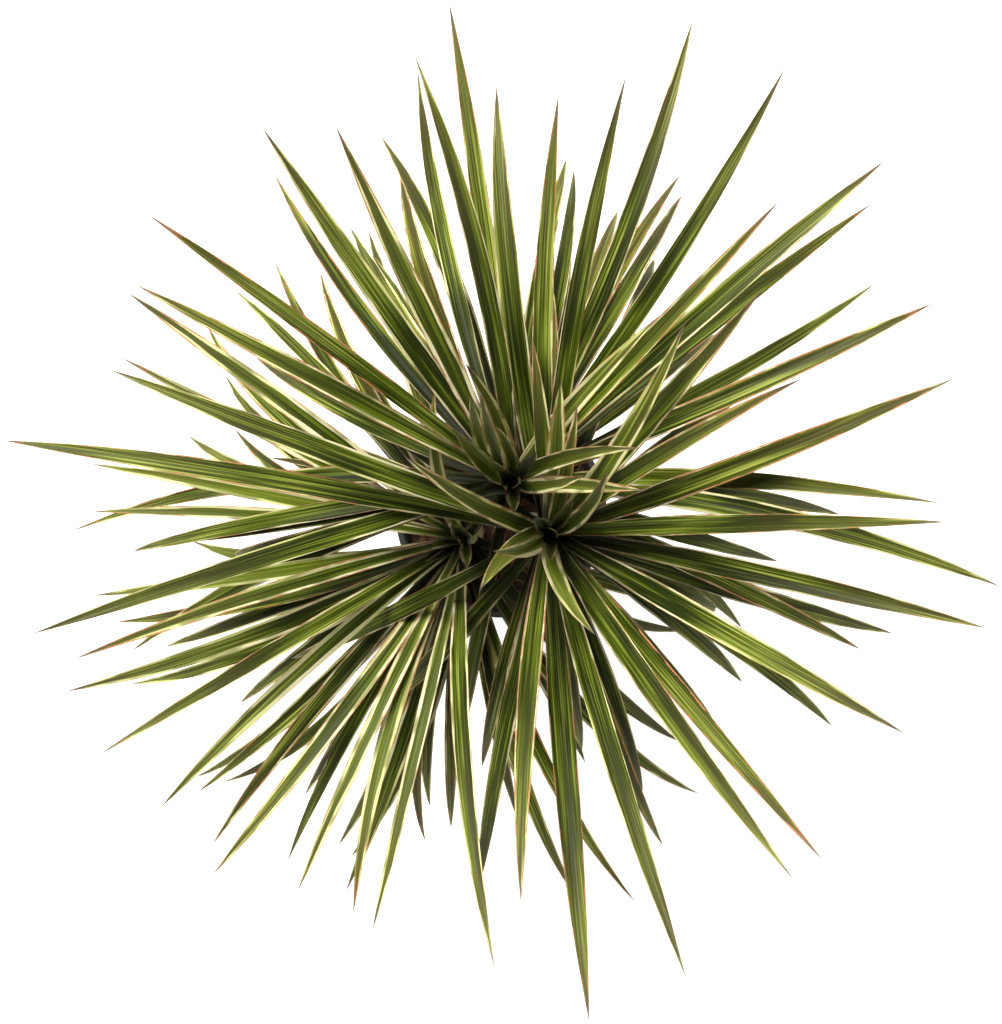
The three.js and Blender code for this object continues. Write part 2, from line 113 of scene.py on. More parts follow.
camera_data = bpy.data.cameras.new("overhead_camera")
camera_data.sensor_width = SENSOR
camera_data.lens = SENSOR * (EYE_HEIGHT - SIGHT_LEVEL) / FRAME_AT_SIGHT
camera_data.clip_start, camera_data.clip_end = NEAREST_SEEN * MM, FARTHEST_SEEN * MM
scene.camera = add_to_scene("overhead_camera", camera_data)
scene.camera.location = (0, 0, EYE_HEIGHT * MM)
print("lens:", round(camera_data.lens, 1), "mm")

# %% [markdown]
# ## Shader nodes in few words
#
# A material is a tree of small nodes. These helpers add a node and join it in one line. An
# argument is either a fixed value or the output of another node, so a formula can be read
# from left to right.

# %% Adding and joining nodes


def node(tree, kind, **settings):
    """A new shader node of one kind, with its settings."""
    made = tree.nodes.new("ShaderNode" + kind)
    for name, value in settings.items():
        setattr(made, name, value)
    return made


def feed(tree, socket, value):
    """Links another node's output to a socket, or writes a fixed value into it."""
    if isinstance(value, bpy.types.NodeSocket):
        tree.links.new(value, socket)
    else:
        socket.default_value = value


def vector_of(tree, *values):
    """Three values joined to one vector."""
    made = node(tree, "CombineXYZ")
    for socket, value in zip(made.inputs, values):
        feed(tree, socket, value)
    return made.outputs[0]


def parts_of(tree, vector):
    """The three values of a vector."""
    made = node(tree, "SeparateXYZ")
    feed(tree, made.inputs[0], vector)
    return made.outputs


def measured(tree, name):
    """A mesh attribute that a builder has written."""
    return node(tree, "Attribute", attribute_name=name).outputs["Vector"]


joining = (node, feed, vector_of, parts_of, measured)
print("joining:", ", ".join(helper.__name__ for helper in joining))

# %% Arithmetic with nodes


def maths(tree, operation, *values):
    """One step of arithmetic, such as SUBTRACT, MINIMUM or FRACT."""
    made = node(tree, "Math", operation=operation)
    for socket, value in zip(made.inputs, values):
        feed(tree, socket, value)
    return made.outputs[0]


def plus(tree, value, *others):
    """The sum of all values."""
    for other in others:
        value = maths(tree, "ADD", value, other)
    return value


def times(tree, value, *others):
    """The product of all values."""
    for other in others:
        value = maths(tree, "MULTIPLY", value, other)
    return value


def spread(tree, value, low, high):
    """A value from 0 to 1, stretched to run from low to high."""
    return maths(tree, "MULTIPLY_ADD", value, high - low, low)


def ramp(tree, value, start, end, low=0.0, high=1.0):
    """A soft step: low before start, high after end."""
    made = node(tree, "MapRange", interpolation_type="SMOOTHSTEP")
    for name, given in zip(("Value", "From Min", "From Max", "To Min", "To Max"),
                           (value, start, end, low, high)):
        feed(tree, made.inputs[name], given)
    return made.outputs["Result"]


def speckle(tree, place, scale, detail=3.0, roughness=0.55):
    """Blender's noise, between 0 and 1, at a place."""
    made = node(tree, "TexNoise")
    feed(tree, made.inputs["Vector"], place)
    feed(tree, made.inputs["Scale"], scale)
    made.inputs["Detail"].default_value = detail
    made.inputs["Roughness"].default_value = roughness
    return made.outputs["Fac"]


arithmetic = (maths, plus, times, spread, ramp, speckle)
print("arithmetic:", ", ".join(helper.__name__ for helper in arithmetic))

# %% Colours


def paint(red, green, blue):
    """A colour as a colour picker shows it, 0 to 255, turned into the light it stands for."""
    def linear(value):
        value /= 255
        return value / 12.92 if value <= 0.04045 else ((value + 0.055) / 1.055) ** 2.4
    return (linear(red), linear(green), linear(blue), 1.0)


def mixed(tree, share, one, other):
    """The first colour where share is 0, the second where it is 1."""
    made = node(tree, "Mix", data_type="RGBA")
    for index, value in ((0, share), (6, one), (7, other)):
        feed(tree, made.inputs[index], value)
    return made.outputs[2]


def coated(tree, colour, *coats):
    """A colour with others laid over it in turn, each written as (share, colour)."""
    for share, coat in coats:
        colour = mixed(tree, share, colour, coat)
    return colour


print("a grey of 128 sends back", round(paint(128, 128, 128)[0], 3), "of the light")

# %% [markdown]
# ## Groups and finishes
#
# An effect that several materials use is made once, as a node group with named sockets, and
# placed in each material with its own values. A finish is a material around one Principled
# shader, which turns colour, roughness and fine relief into light.

# %% Group and finish helpers


def new_group(name, inputs, outputs):
    """An empty node group with named sockets; inputs give the kind and the usual value."""
    tree = bpy.data.node_groups.new(name, "ShaderNodeTree")
    kinds = {"value": "NodeSocketFloat", "colour": "NodeSocketColor", "vector": "NodeSocketVector"}
    for title, kind, usual in inputs:
        socket = tree.interface.new_socket(name=title, in_out="INPUT", socket_type=kinds[kind])
        if usual is not None:
            socket.default_value = usual
    for title, kind in outputs:
        tree.interface.new_socket(name=title, in_out="OUTPUT", socket_type=kinds[kind])
    entry = tree.nodes.new("NodeGroupInput")
    return tree, entry.outputs, tree.nodes.new("NodeGroupOutput").inputs


def placed(tree, group, **values):
    """A group set into a material; spaces in socket names are written as underscores."""
    made = node(tree, "Group", node_tree=group)
    for name, value in values.items():
        feed(tree, made.inputs[name.replace("_", " ")], value)
    return made.outputs


def new_finish(name, **fixed):
    """A material with a Principled shader; fixed values go on the shader's own sockets."""
    material = bpy.data.materials.new(name)
    material.use_nodes = True
    tree = material.node_tree
    shader = tree.nodes["Principled BSDF"]
    for title, value in fixed.items():
        shader.inputs[title.replace("_", " ")].default_value = value
    return material, tree, shader


def finish_off(tree, shader, colour, roughness, height, depth):
    """Joins colour, roughness and fine relief, its depth in millimetres, to the shader."""
    relief = node(tree, "Bump")
    relief.inputs["Distance"].default_value = depth * MM
    relief.inputs["Strength"].default_value = 1.0
    feed(tree, relief.inputs["Height"], height)
    feed(tree, shader.inputs["Normal"], relief.outputs["Normal"])
    feed(tree, shader.inputs["Base Color"], colour)
    feed(tree, shader.inputs["Roughness"], roughness)


print("node groups so far:", len(bpy.data.node_groups))

# %% [markdown]
# ## Streaks, a group that leaves and bark share
#
# Leaf veins and bark fibres are both fine lines that run far lengthwise and change quickly
# across. The group stretches noise along one direction. Place is in millimetres: X runs
# across and Y along the lines, and Z keeps one leaf from looking like the next.

# %% Streak group
STREAKS, given, result = new_group(
    "lengthwise_streaks",
    [("Place", "vector", None), ("Fineness", "value", 1.0), ("Stretch", "value", 0.01)],
    [("Broad", "value"), ("Fine", "value")],
)
across, along, apart = parts_of(STREAKS, given["Place"])
along_line = times(STREAKS, along, given["Stretch"])
for title, finer in (("Broad", 1.0), ("Fine", 3.3)):
    across_line = times(STREAKS, across, given["Fineness"], finer)
    line_place = vector_of(STREAKS, across_line, along_line, apart)
    feed(STREAKS, result[title], speckle(STREAKS, line_place, scale=1.0, detail=2.0))
print("streak group:", len(STREAKS.nodes), "nodes")

# %% [markdown]
# ## The bicolor blade
#
# A blade of this cultivar is green, with a thin cream-yellow stripe just inside each edge and
# a red-brown margin outside it. Seen close, the green isn't one green: dark and lime lines run
# lengthwise, the midrib lies in a furrow darkened with painted shade, and one half of a blade
# is often made darker than the other with painted shade as well. Stripe and margin are ragged,
# and on some leaves all but missing. The group measures millimetres from the edge, because the
# stripe keeps its width while the blade narrows.
#
# The measures reach the material as mesh attributes that the leaf builder writes, so the
# pattern follows each blade however it twists. Growth tells one leaf from another: its rank
# from young to old, a number by chance, and how much cream it has.

# %% Blade group: its measures
BLADE, leaf_in, leaf_out = new_group(
    "bicolor_blade",
    [
        ("Blade", "vector", None),
        ("Size", "vector", None),
        ("Growth", "vector", None),
        ("Cream width", "value", 1.0),
        ("Margin width", "value", 0.45),
        ("Deep green", "colour", paint(30, 40, 4)),
        ("Green", "colour", paint(84, 100, 17)),
        ("Lime", "colour", paint(176, 184, 88)),
        ("Cream", "colour", paint(242, 233, 196)),
        ("Margin", "colour", paint(170, 118, 80)),
    ],
    [("Colour", "colour"), ("Roughness", "value"), ("Height", "value")],
)
across, along, underside = parts_of(BLADE, leaf_in["Blade"])
half_width, length, _ = parts_of(BLADE, leaf_in["Size"])
age, chance, creaminess = parts_of(BLADE, leaf_in["Growth"])

mm_across = times(BLADE, across, half_width)
mm_along = times(BLADE, along, length)
from_midrib = maths(BLADE, "ABSOLUTE", mm_across)
from_edge = maths(BLADE, "SUBTRACT", half_width, from_midrib)
own_place = times(BLADE, chance, 97.0)
other_chance, third_chance = (maths(BLADE, "FRACT", times(BLADE, chance, stir))
                              for stir in (7.31, 23.7))
streaks = placed(BLADE, STREAKS, Place=vector_of(BLADE, mm_across, mm_along, own_place),
                 Fineness=0.36, Stretch=0.008)
side = maths(BLADE, "SIGN", across)
side_place = vector_of(BLADE, times(BLADE, mm_along, 0.03), own_place, side)
print("blade measures joined:", len(BLADE.nodes), "nodes")

# %% Blade group: the greens
# Painted shade and light make one half of a blade darker than the other; each blade also has a
# tone of its own.
painted_half_shade = spread(BLADE, speckle(BLADE, side_place, 0.35, 1.0), -0.375, 0.375)
leaf_tone = spread(BLADE, other_chance, -0.08, 0.08)
streaks_and_painted_half_shade = plus(BLADE, streaks["Broad"], painted_half_shade, leaf_tone)
# Fine lines: lime ones where the blade is light, dark ones everywhere.
lime_line = times(BLADE, ramp(BLADE, streaks["Fine"], 0.52, 0.62),
                  ramp(BLADE, streaks_and_painted_half_shade, 0.4, 0.75, 0.15, 0.8))
dark_line = ramp(BLADE, streaks["Fine"], 0.4, 0.5, 0.7, 0.0)
# Painted shade darkens the midrib, strongly on some leaves and faintly on others.
painted_groove_shade = times(BLADE, ramp(BLADE, from_midrib, 0.15, 0.8, 0.7, 0.0),
               ramp(BLADE, third_chance, 0.1, 0.8, 0.1, 1.0))
# Young leaves are fresher, a few old ones turn brown, and all fade towards the tip.
youth = ramp(BLADE, age, 0.08, 0.35, 0.35, 0.0)
browning = times(BLADE, ramp(BLADE, third_chance, 0.8, 0.95, 0.0, 0.25),
                 ramp(BLADE, age, 0.3, 0.7))
bleached = ramp(BLADE, along, 0.4, 0.95, 0.0, 0.38)
greens = coated(
    BLADE, leaf_in["Deep green"],
    (ramp(BLADE, streaks_and_painted_half_shade, 0.37, 0.6), leaf_in["Green"]),
    (lime_line, leaf_in["Lime"]),
    (dark_line, leaf_in["Deep green"]),
    (youth, paint(128, 144, 40)),
    (painted_groove_shade, leaf_in["Deep green"]),
    (browning, paint(120, 98, 46)),
    (bleached, paint(102, 95, 58)),
)
print("with the greens:", len(BLADE.nodes), "nodes")

# %% Blade group: cream stripes and margins
ragged = spread(BLADE, speckle(BLADE, side_place, 0.7, 1.0), -1.5, 1.5)
streaky = spread(BLADE, streaks["Fine"], -0.8, 0.8)
# The stripe is widest on young leaves and near the foot, and never fills a blade.
stripe = times(BLADE, leaf_in["Cream width"], creaminess,
               ramp(BLADE, age, 0.1, 0.35, 3.0, 1.0), ramp(BLADE, along, 0.4, 0.9, 1.1, 0.6))
stripe = maths(BLADE, "MINIMUM", stripe, times(BLADE, half_width, 0.45))
stripe_edge = maths(BLADE, "SUBTRACT", from_edge, plus(BLADE, ragged, streaky, stripe))
broken = ramp(BLADE, speckle(BLADE, side_place, 1.1, 0.5), 0.36, 0.52, 0.3, 1.0)
cream_share = times(BLADE, ramp(BLADE, stripe_edge, -0.3, 0.3, 0.95, 0.0), broken)
cream = coated(
    BLADE, leaf_in["Cream"],
    (ramp(BLADE, streaks["Broad"], 0.35, 0.7, 0.0, 0.7), leaf_in["Lime"]),
    (ramp(BLADE, along, 0.4, 0.9, 0.0, 0.5), leaf_in["Lime"]),
)
# The red-brown margin swells and fades along the blade.
rim = speckle(BLADE, vector_of(BLADE, mm_along, own_place, side), 0.05)
rim_width = times(BLADE, leaf_in["Margin width"], ramp(BLADE, rim, 0.4, 0.62, 0.3, 1.7),
                  ramp(BLADE, third_chance, 0.0, 1.0, 0.2, 1.7))
rim_edge = maths(BLADE, "SUBTRACT", from_edge, rim_width)
margin_share = ramp(BLADE, rim_edge, -0.15, 0.15, 0.9, 0.0)
coloured = coated(BLADE, greens, (cream_share, cream), (margin_share, leaf_in["Margin"]))
print("with stripes and margins:", len(BLADE.nodes), "nodes")

# %% Blade group: tip, underside, foot and surface
tip_share = ramp(BLADE, along, spread(BLADE, chance, 0.95, 0.89), 1.0, 0.0, 0.9)
coloured = mixed(BLADE, tip_share, coloured, paint(92, 80, 74))
coloured = mixed(BLADE, underside, coloured, mixed(BLADE, 0.3, coloured, paint(112, 116, 52)))
# Feet sink into dark shade, farther up on old leaves, and the buds are all in shade.
shade_end = ramp(BLADE, age, 0.08, 0.55, 52.0, 205.0)
foot_dark = maths(BLADE, "MAXIMUM", ramp(BLADE, mm_along, 12.0, shade_end, 0.95, 0.0),
                  ramp(BLADE, age, 0.055, 0.075, 0.78, 0.0))
feed(BLADE, leaf_out["Colour"], mixed(BLADE, foot_dark, coloured, paint(12, 15, 3)))
satin = spread(BLADE, streaks["Fine"], 0.38, 0.58)
feed(BLADE, leaf_out["Roughness"], maths(BLADE, "MULTIPLY_ADD", underside, 0.15, satin))
feed(BLADE, leaf_out["Height"],
     plus(BLADE, streaks["Fine"], times(BLADE, streaks["Broad"], 0.8)))
print("blade group:", len(BLADE.nodes), "nodes")

# %% [markdown]
# ## One leaf finish for each head
#
# The three heads belong to one plant but are not of one age: the tall head has broad, deep
# green blades, and the short one has narrow blades with more cream. The same group serves all
# of them, with its own values in each material. The gloss is weak and broad, like that of
# leather. A stronger one would lay a grey veil over the green of the leaves in the shade.

# %% Leaf finishes
LEAF_GLOSS = 0.12
VEIN_DEPTH = 0.25


def leaf_finish(name, **values):
    """A finish around the blade group, which reads what the leaf builder wrote."""
    material, tree, shader = new_finish(name, Specular_IOR_Level=LEAF_GLOSS)
    look = placed(tree, BLADE, Blade=measured(tree, "blade"), Size=measured(tree, "blade_size"),
                  Growth=measured(tree, "growth"), **values)
    finish_off(tree, shader, look["Colour"], look["Roughness"], look["Height"], VEIN_DEPTH)
    return material


LEAF_FINISHES = {
    "tall": leaf_finish("leaf_tall_head", Cream_width=0.8),
    "middle": leaf_finish("leaf_middle_head", Cream_width=0.9),
    "short": leaf_finish("leaf_short_head", Cream_width=1.3),
}
print("leaf finishes:", ", ".join(LEAF_FINISHES))

# %% [markdown]
# ## Where each leaf grows
#
# Every leaf seen in the photograph is written as (bearing, reach, bend): where its tip points
# in degrees, how far out the tip is in millimetres, and how much it turns sideways. A fourth
# number makes a leaf shorter than others of its age, and so flatter. These are the same
# measured lists and the same rule that the frame's solids were made from, since a fine
# leaf has to lie where its plain solid lies. The rule is growth in short: young leaves stand
# steep and short at the top of the shoot, old ones are long and hang.
#
# A stem's other numbers are in millimetres. Head and foot are the places of its shoot and of
# the foot of its cane, seen from above. The leaf zone is the stretch of shoot below its top
# that carries leaves. The hidden leaves are counted; the rule places them.

# %% The three stems
STEMS = {
    "tall": dict(
        head=(34.5, -14.5), foot=(27, -13), shoot_top=660, leaf_zone=128, cane_radius=12,
        leaf_length=375, leaf_width=15.4, hidden_above=4, hidden_below=13,
        above=[
            (198.9, 41, -56), (45.9, 60, 60), (220.5, 63, 60), (294.5, 79, 60),
            (77.1, 91, 10, 0.6), (85.1, 107, 0, 0.6), (152.1, 115, -28), (94.5, 135, 2, 0.6),
            (56.9, 177, 25), (31.1, 208, -17), (48.5, 226, 0), (265.8, 260, 12), (1.4, 280, -6),
            (330.5, 287, 1), (305.2, 297, 8), (309.9, 300, 3), (20.7, 305, 6), (88.6, 307, -12),
            (98.1, 314, -12), (347.6, 315, -5), (80.3, 324, -13), (159.7, 327, -1),
            (287.2, 327, 6), (274.8, 344, 3), (170.5, 388, 5),
        ],
        below=[
            (258.9, 261, 7), (343.6, 252, 4), (325.6, 241, -16), (290.1, 234, 13),
            (289.6, 196, -7), (19.1, 181, 1), (322.2, 172, -16), (254.3, 171, 10),
        ]),
    "middle": dict(
        head=(8, 21), foot=(6, 20), shoot_top=625, leaf_zone=122, cane_radius=11,
        leaf_length=370, leaf_width=14.6, hidden_above=4, hidden_below=10,
        above=[
            (105.9, 43, 42), (6.8, 52, 42), (136.5, 57, -32), (115, 69, -42), (108.2, 69, -28),
            (111.2, 91, 32), (357.3, 92, -4), (15.6, 93, -39), (48.7, 157, -12), (46.6, 273, 1),
            (116.2, 280, -4), (152.1, 299, 0), (357.4, 300, -16), (125, 305, -3),
            (102.8, 308, 20), (143.5, 318, 3), (23.2, 322, 6), (97.4, 340, 5), (40.9, 346, -4),
            (68.7, 349, 13), (56.7, 349, 11), (348.1, 350, -20), (197.4, 353, 3),
        ],
        below=[
            (37.9, 320, -4), (186.2, 311, 28), (102.8, 296, -13), (205.3, 292, 20),
            (28.9, 291, 12), (127.4, 274, -17), (334.6, 271, -3), (190.1, 269, 7),
            (110.7, 261, 19), (188.1, 251, -2), (61.4, 246, -12), (109.3, 236, -20),
            (59.5, 235, -1), (354.6, 231, -13), (80.4, 231, -8), (78.8, 224, 12),
            (122.2, 212, -8), (153.7, 200, -16), (327.9, 190, -29), (76.8, 181, 11),
        ]),
    "short": dict(
        head=(-28, -20.5), foot=(-26, -18), shoot_top=490, leaf_zone=118, cane_radius=10.5,
        leaf_length=360, leaf_width=14, hidden_above=4, hidden_below=4,
        above=[
            (101.2, 109, -42), (176, 263, 13), (188.8, 264, -5), (168.8, 268, 6),
            (152.3, 273, 1), (253.4, 275, 22), (244.6, 275, 4), (256.7, 283, -1),
            (221.5, 285, 12), (197.2, 288, 9), (144, 293, 4), (233.1, 296, -8), (210.6, 297, 1),
            (201, 300, -16), (273.9, 302, 18),
        ],
        below=[
            (295.1, 282, 25), (230.5, 279, 10), (287.3, 265, 20), (251.3, 262, -8),
            (223.5, 259, -11), (241.2, 259, 10), (203.5, 256, -25), (221.5, 253, -25),
            (193.5, 251, -15), (312.4, 242, 36), (225.1, 241, -42), (250.2, 238, -29),
            (132.9, 237, 11), (124.5, 235, -19), (140.5, 234, -33), (247.5, 233, -16),
            (107.5, 226, 0), (199.9, 224, -2), (262.6, 215, 33), (118.5, 213, -23),
            (238, 212, 0), (316.5, 207, 18), (159.7, 206, -24), (145.8, 203, -41),
            (267.2, 203, 5), (280.6, 201, 5), (216.2, 195, 6), (180.6, 191, -35),
            (262.5, 189, 23), (154.5, 179, -42), (298.1, 178, -8), (337.7, 170, 35),
        ]),
}
print("leaves measured in the photograph:",
      sum(len(stem["above"]) + len(stem["below"]) for stem in STEMS.values()))

# %% [markdown]
# ## The natural form of a leaf
#
# A real leaf is short and steep while it is young, then long, arched and at last hanging. So
# each leaf of a head gets a rank from young to old, and from it a length, a width, an arch, a
# roll and a twist. An even scatter makes them differ a little without random numbers. Leaves
# that the photograph doesn't show are spread by the golden angle, as the plant itself does.

# %% Leaves of one stem
GOLDEN_ANGLE = 137.508
HANGING_AGE = 1000
HIDDEN_BEND = 8
BUD_REACH, BUD_SPREAD = 6, 30
UNDER_REACH, UNDER_SPREAD = 205, 55


def scatter(index, row):
    """An even scatter between 0 and 1 that needs no random numbers."""
    value = (index + 1) * 0.618034 + row * 0.414214
    return value - math.floor(value)


def between(index, row, low, high):
    """The same scatter, from low to high."""
    return low + (high - low) * scatter(index, row)


def leaves_of(stem):
    """All leaves of one stem, youngest first, with their natural form."""
    leaves = []

    def add(rising, bearing, reach, bend, share=1):
        leaves.append(dict(bearing=bearing, reach=reach, bend=bend, rising=rising, share=share,
                           age=reach if rising else HANGING_AGE - reach, stem=stem))

    for leaf in stem["above"]:
        add(True, *leaf)
    for leaf in stem["below"]:
        add(False, *leaf)
    above, below = stem["hidden_above"], stem["hidden_below"]
    for i in range(above):
        add(True, GOLDEN_ANGLE * i, BUD_REACH + BUD_SPREAD * i / above,
            between(i, 1, -HIDDEN_BEND, HIDDEN_BEND))
    for i in range(below):
        add(False, GOLDEN_ANGLE * (i + 0.5), UNDER_REACH - UNDER_SPREAD * i / below,
            between(i, 2, -HIDDEN_BEND, HIDDEN_BEND))
    leaves.sort(key=lambda one: one["age"])
    for i, one in enumerate(leaves):
        grow(one, stem, i, len(leaves))
    return leaves


print("even scatter:", [round(scatter(i, 0), 2) for i in range(5)])

# %% Growth
BUD_RANK, GROWN_RANK = 4, 22
BUD_LENGTH, BUD_WIDTH = 0.42, 0.62
LONGEST_HANG = 0.62
RISING_ARCH, HANGING_ARCH = 46, 58
LARGEST_ROLL, LARGEST_TWIST = 11, 13


def grow(one, stem, i, count):
    """Natural length, width and curve of leaf i of a head, each a little off the average."""
    top, zone = stem["shoot_top"], stem["leaf_zone"]
    scale = (EYE_HEIGHT - SIGHT_LEVEL) / (EYE_HEIGHT - top + zone / 2)
    pointing = math.radians(one["bearing"])
    one["seen_tip"] = (stem["head"][0] * scale + one["reach"] * math.cos(pointing),
                       stem["head"][1] * scale + one["reach"] * math.sin(pointing))
    grown = min(1, (i + BUD_RANK) / GROWN_RANK)
    one["height"] = top - zone * i / count
    one["length"] = stem["leaf_length"] * between(i, 3, 0.92, 1.08)
    one["length"] *= BUD_LENGTH + (1 - BUD_LENGTH) * grown
    if not one["rising"]:
        one["length"] = min(one["length"], one["reach"] / LONGEST_HANG)
    one["length"] *= one["share"]
    one["width"] = stem["leaf_width"] * between(i, 4, 0.86, 1.14)
    one["width"] *= BUD_WIDTH + (1 - BUD_WIDTH) * grown
    one["roll"] = between(i, 5, -LARGEST_ROLL, LARGEST_ROLL)
    one["twist"] = between(i, 6, -LARGEST_TWIST, LARGEST_TWIST)
    one["arch"] = (RISING_ARCH if one["rising"] else HANGING_ARCH) * between(i, 7, 0.75, 1.25)
    one["rank"] = i / (count - 1)
    one["chance"] = scatter(i, 8)


HEADS = {name: leaves_of(stem) for name, stem in STEMS.items()}
print("leaves on each head:", {name: len(leaves) for name, leaves in HEADS.items()})

# %% [markdown]
# ## The rule for one leaf
#
# `aim` finds how steep a leaf stands so that its tip shows where it was measured, for the eye
# above the plant: what lies lower is seen nearer the middle. `midrib` then gives its course.
# A leaf may have been turned, stretched or arched a little in the frame to pass its
# neighbours. Rather than being told which, the script tries those ways until the tip falls on
# a corner of the frame's solid, so that the fine leaf is certain to lie in the same place.

# %% The midrib
ROOT_RADIUS = 2
PATH_STEPS = 24
HALFWAY = (np.arange(PATH_STEPS) + 0.5) / PATH_STEPS


def chord(bend):
    """How much shorter a bent stretch is from end to end than along its curve."""
    return np.sinc(np.asarray(bend) / 360)


def directions(one, aimed, along):
    """Forward, side and upper directions of the blade at each share along it."""
    bearing, slope, arch = (aimed[..., k, None] for k in range(3))
    heading = np.radians(bearing + one["bend"] * (along - 0.5))
    rise = np.radians(slope + arch * (0.5 - along))
    forward = np.stack([np.cos(rise) * np.cos(heading), np.cos(rise) * np.sin(heading),
                        np.sin(rise)], -1)
    level = np.stack([-np.sin(heading), np.cos(heading), 0 * heading], -1)
    upper = np.cross(forward, level)
    roll = np.radians(one["roll"] + one["twist"] * along)[:, None]
    side = level * np.cos(roll) + upper * np.sin(roll)
    return forward, side, upper * np.cos(roll) - level * np.sin(roll)


def midrib(one, aimed):
    """Points of the midrib: a start near the middle of the shoot, then equal steps."""
    steps = directions(one, aimed, HALFWAY)[0] * aimed[..., 3, None, None] / PATH_STEPS
    out = np.radians(aimed[..., 0] - one["bend"] / 2)
    head = one["stem"]["head"]
    start = np.stack([head[0] + ROOT_RADIUS * np.cos(out), head[1] + ROOT_RADIUS * np.sin(out),
                      one["height"] + 0 * out], -1)
    return np.cumsum(np.concatenate([start[..., None, :], steps], -2), -2)


# %% Aim
AIM_ROUNDS = 8
TAUTEST = 0.97
STEEPEST_FOOT = 86


def aim(one, ways):
    """Bearing, steepness, arch and length that put the tip where the eye above sees it."""
    turn, longer, archer = ways.T
    head, arch = one["stem"]["head"], one["arch"] * archer
    bearing, reach = one["bearing"] + 0 * turn, one["reach"] + 0 * turn
    for _ in range(AIM_ROUNDS):
        run = chord(arch) * chord(one["bend"])
        length = np.maximum(one["length"] * longer, reach / (run * TAUTEST))
        steep = np.degrees(np.arccos(np.minimum(1, reach / (length * run))))
        if one["rising"]:
            arch = np.minimum(arch, 2 * np.maximum(0, STEEPEST_FOOT - steep))
        aimed = np.stack([bearing, steep if one["rising"] else -steep, arch, length], -1)
        tip = midrib(one, aimed)[..., -1, :]
        scale = (EYE_HEIGHT - tip[..., 2]) / (EYE_HEIGHT - SIGHT_LEVEL)
        wanted = [seen * scale - h for seen, h in zip(one["seen_tip"], head)]
        found = [tip[..., 0] - head[0], tip[..., 1] - head[1]]
        aside = np.arctan2(wanted[1], wanted[0]) - np.arctan2(found[1], found[0])
        bearing = bearing + np.degrees(np.arctan2(np.sin(aside), np.cos(aside)))
        reach = reach * np.hypot(*wanted) / np.maximum(1, np.hypot(*found))
    aimed[..., 0] += turn
    return aimed


# %% Ways that a leaf may lie
# How much it is turned in degrees, stretched and arched; the smallest changes are tried first.
TURNS = [0, 1.5, -1.5, 3, -3, 5, -5, 8, -8, 12, -12, 17, -17]
LENGTHS = [1, 1.05, 0.94, 1.1, 0.88, 0.82, 0.76, 0.7]
ARCHES = [1, 0.6, 1.4, 0.2, 1.8]
WAYS = [(turn, longer, archer) for turn in TURNS for longer in LENGTHS for archer in ARCHES]
WAYS.sort(key=lambda way: 3 * abs(way[0]) + 16 * abs(way[1] - 1) + 3 * abs(way[2] - 1))
WAYS = np.array(WAYS)
print("ways to try for a leaf:", len(WAYS))

# %% Width along a blade
WIDEST = 0.42
FOOT_WIDTH = 0.55
TAPER = 2.6


def blade_width(along):
    """Share of the full width, from the foot of a leaf to its tip."""
    t = np.clip(along / WIDEST, 0, 1)
    late = np.clip((along - WIDEST) / (1 - WIDEST), 0, 1)
    swelling = FOOT_WIDTH + (1 - FOOT_WIDTH) * np.sin(t * t * np.pi / 2)
    return np.where(along < WIDEST, swelling, 1 - late ** TAPER)


print("width at foot, widest place and near the tip:", blade_width(np.array([0, WIDEST, 0.9])))

# %% Matching each leaf with the frame
SAME_PLACE = 0.05
CORNER_STEP = 21
EDGE_LIFT = 0.12


def corner_of(one, aimed, points):
    """A corner of the frame's solid seven eighths along the leaf, at its right edge."""
    share = np.array([CORNER_STEP / PATH_STEPS])
    _, side, upper = directions(one, aimed, share)
    width = one["width"] * blade_width(share)
    return points[..., CORNER_STEP, :] + (upper * EDGE_LIFT - side / 2)[..., 0, :] * width


def find_ways(name, leaves):
    """Keeps the leaves of one head that the frame's solid shows, each on its own course."""
    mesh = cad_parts[f"crown_{name}"].data
    tree = kdtree.KDTree(len(mesh.vertices))
    for i, vertex in enumerate(mesh.vertices):
        tree.insert(vertex.co / MM, i)
    tree.balance()

    def near(point):
        return tree.find(Vector(point))[2] < SAME_PLACE

    for one in leaves:
        tried = aim(one, WAYS)
        courses = midrib(one, tried)
        corners = corner_of(one, tried, courses)
        for aimed, points, corner in zip(tried, courses, corners):
            if near(points[-1]) and near(corner):
                one["aimed"], one["points"] = aimed, points
                break
    return [one for one in leaves if "aimed" in one]


for name in HEADS:
    before = len(HEADS[name])
    HEADS[name] = find_ways(name, HEADS[name])
    print(f"{name}: {len(HEADS[name])} of {before} leaves lie on the frame")

# %% [markdown]
# ## Building a blade
#
# A real blade is a thin, leathery strip: thickest along the midrib, thin at its margins,
# folded into a shallow channel that is deepest at the foot, where it widens again to clasp
# the shoot. It is lofted from rings of eighteen points: nine across the upper face and nine
# across the lower one. The midrib is a smooth curve through the frame's points, and each
# margin waves a little out of step with the other. Old leaves, which hang, have begun to
# shrink from the tip, so theirs is drawn out to a finer point.

# %% Form of a blade
STATIONS = 56
CROWDING = 0.055
CLASP, CLASP_END = 0.12, 0.03
FINE_POINT_START, FINE_POINT = 0.35, 0.6
THINNEST_HALF, THINNING_HALF = 0.12, 1.5
CHANNEL, FOOT_CHANNEL, FOOT_CHANNEL_END = 0.19, 0.25, 0.06
FOOT_THICKNESS, TIP_THICKNESS = 1.15, 0.6


def smooth_curve(points, at):
    """A curve that passes smoothly through all points (Catmull-Rom), at fractional steps."""
    padded = np.vstack([2 * points[0] - points[1], points, 2 * points[-1] - points[-2]])
    step = np.minimum(np.floor(at).astype(int), len(points) - 2)
    t = (at - step)[:, None]
    a, b, c, d = (padded[step + k] for k in range(4))
    return 0.5 * (2 * b + (c - a) * t + (2 * a - 5 * b + 4 * c - d) * t * t
                  + (3 * b - a - 3 * c + d) * t ** 3)


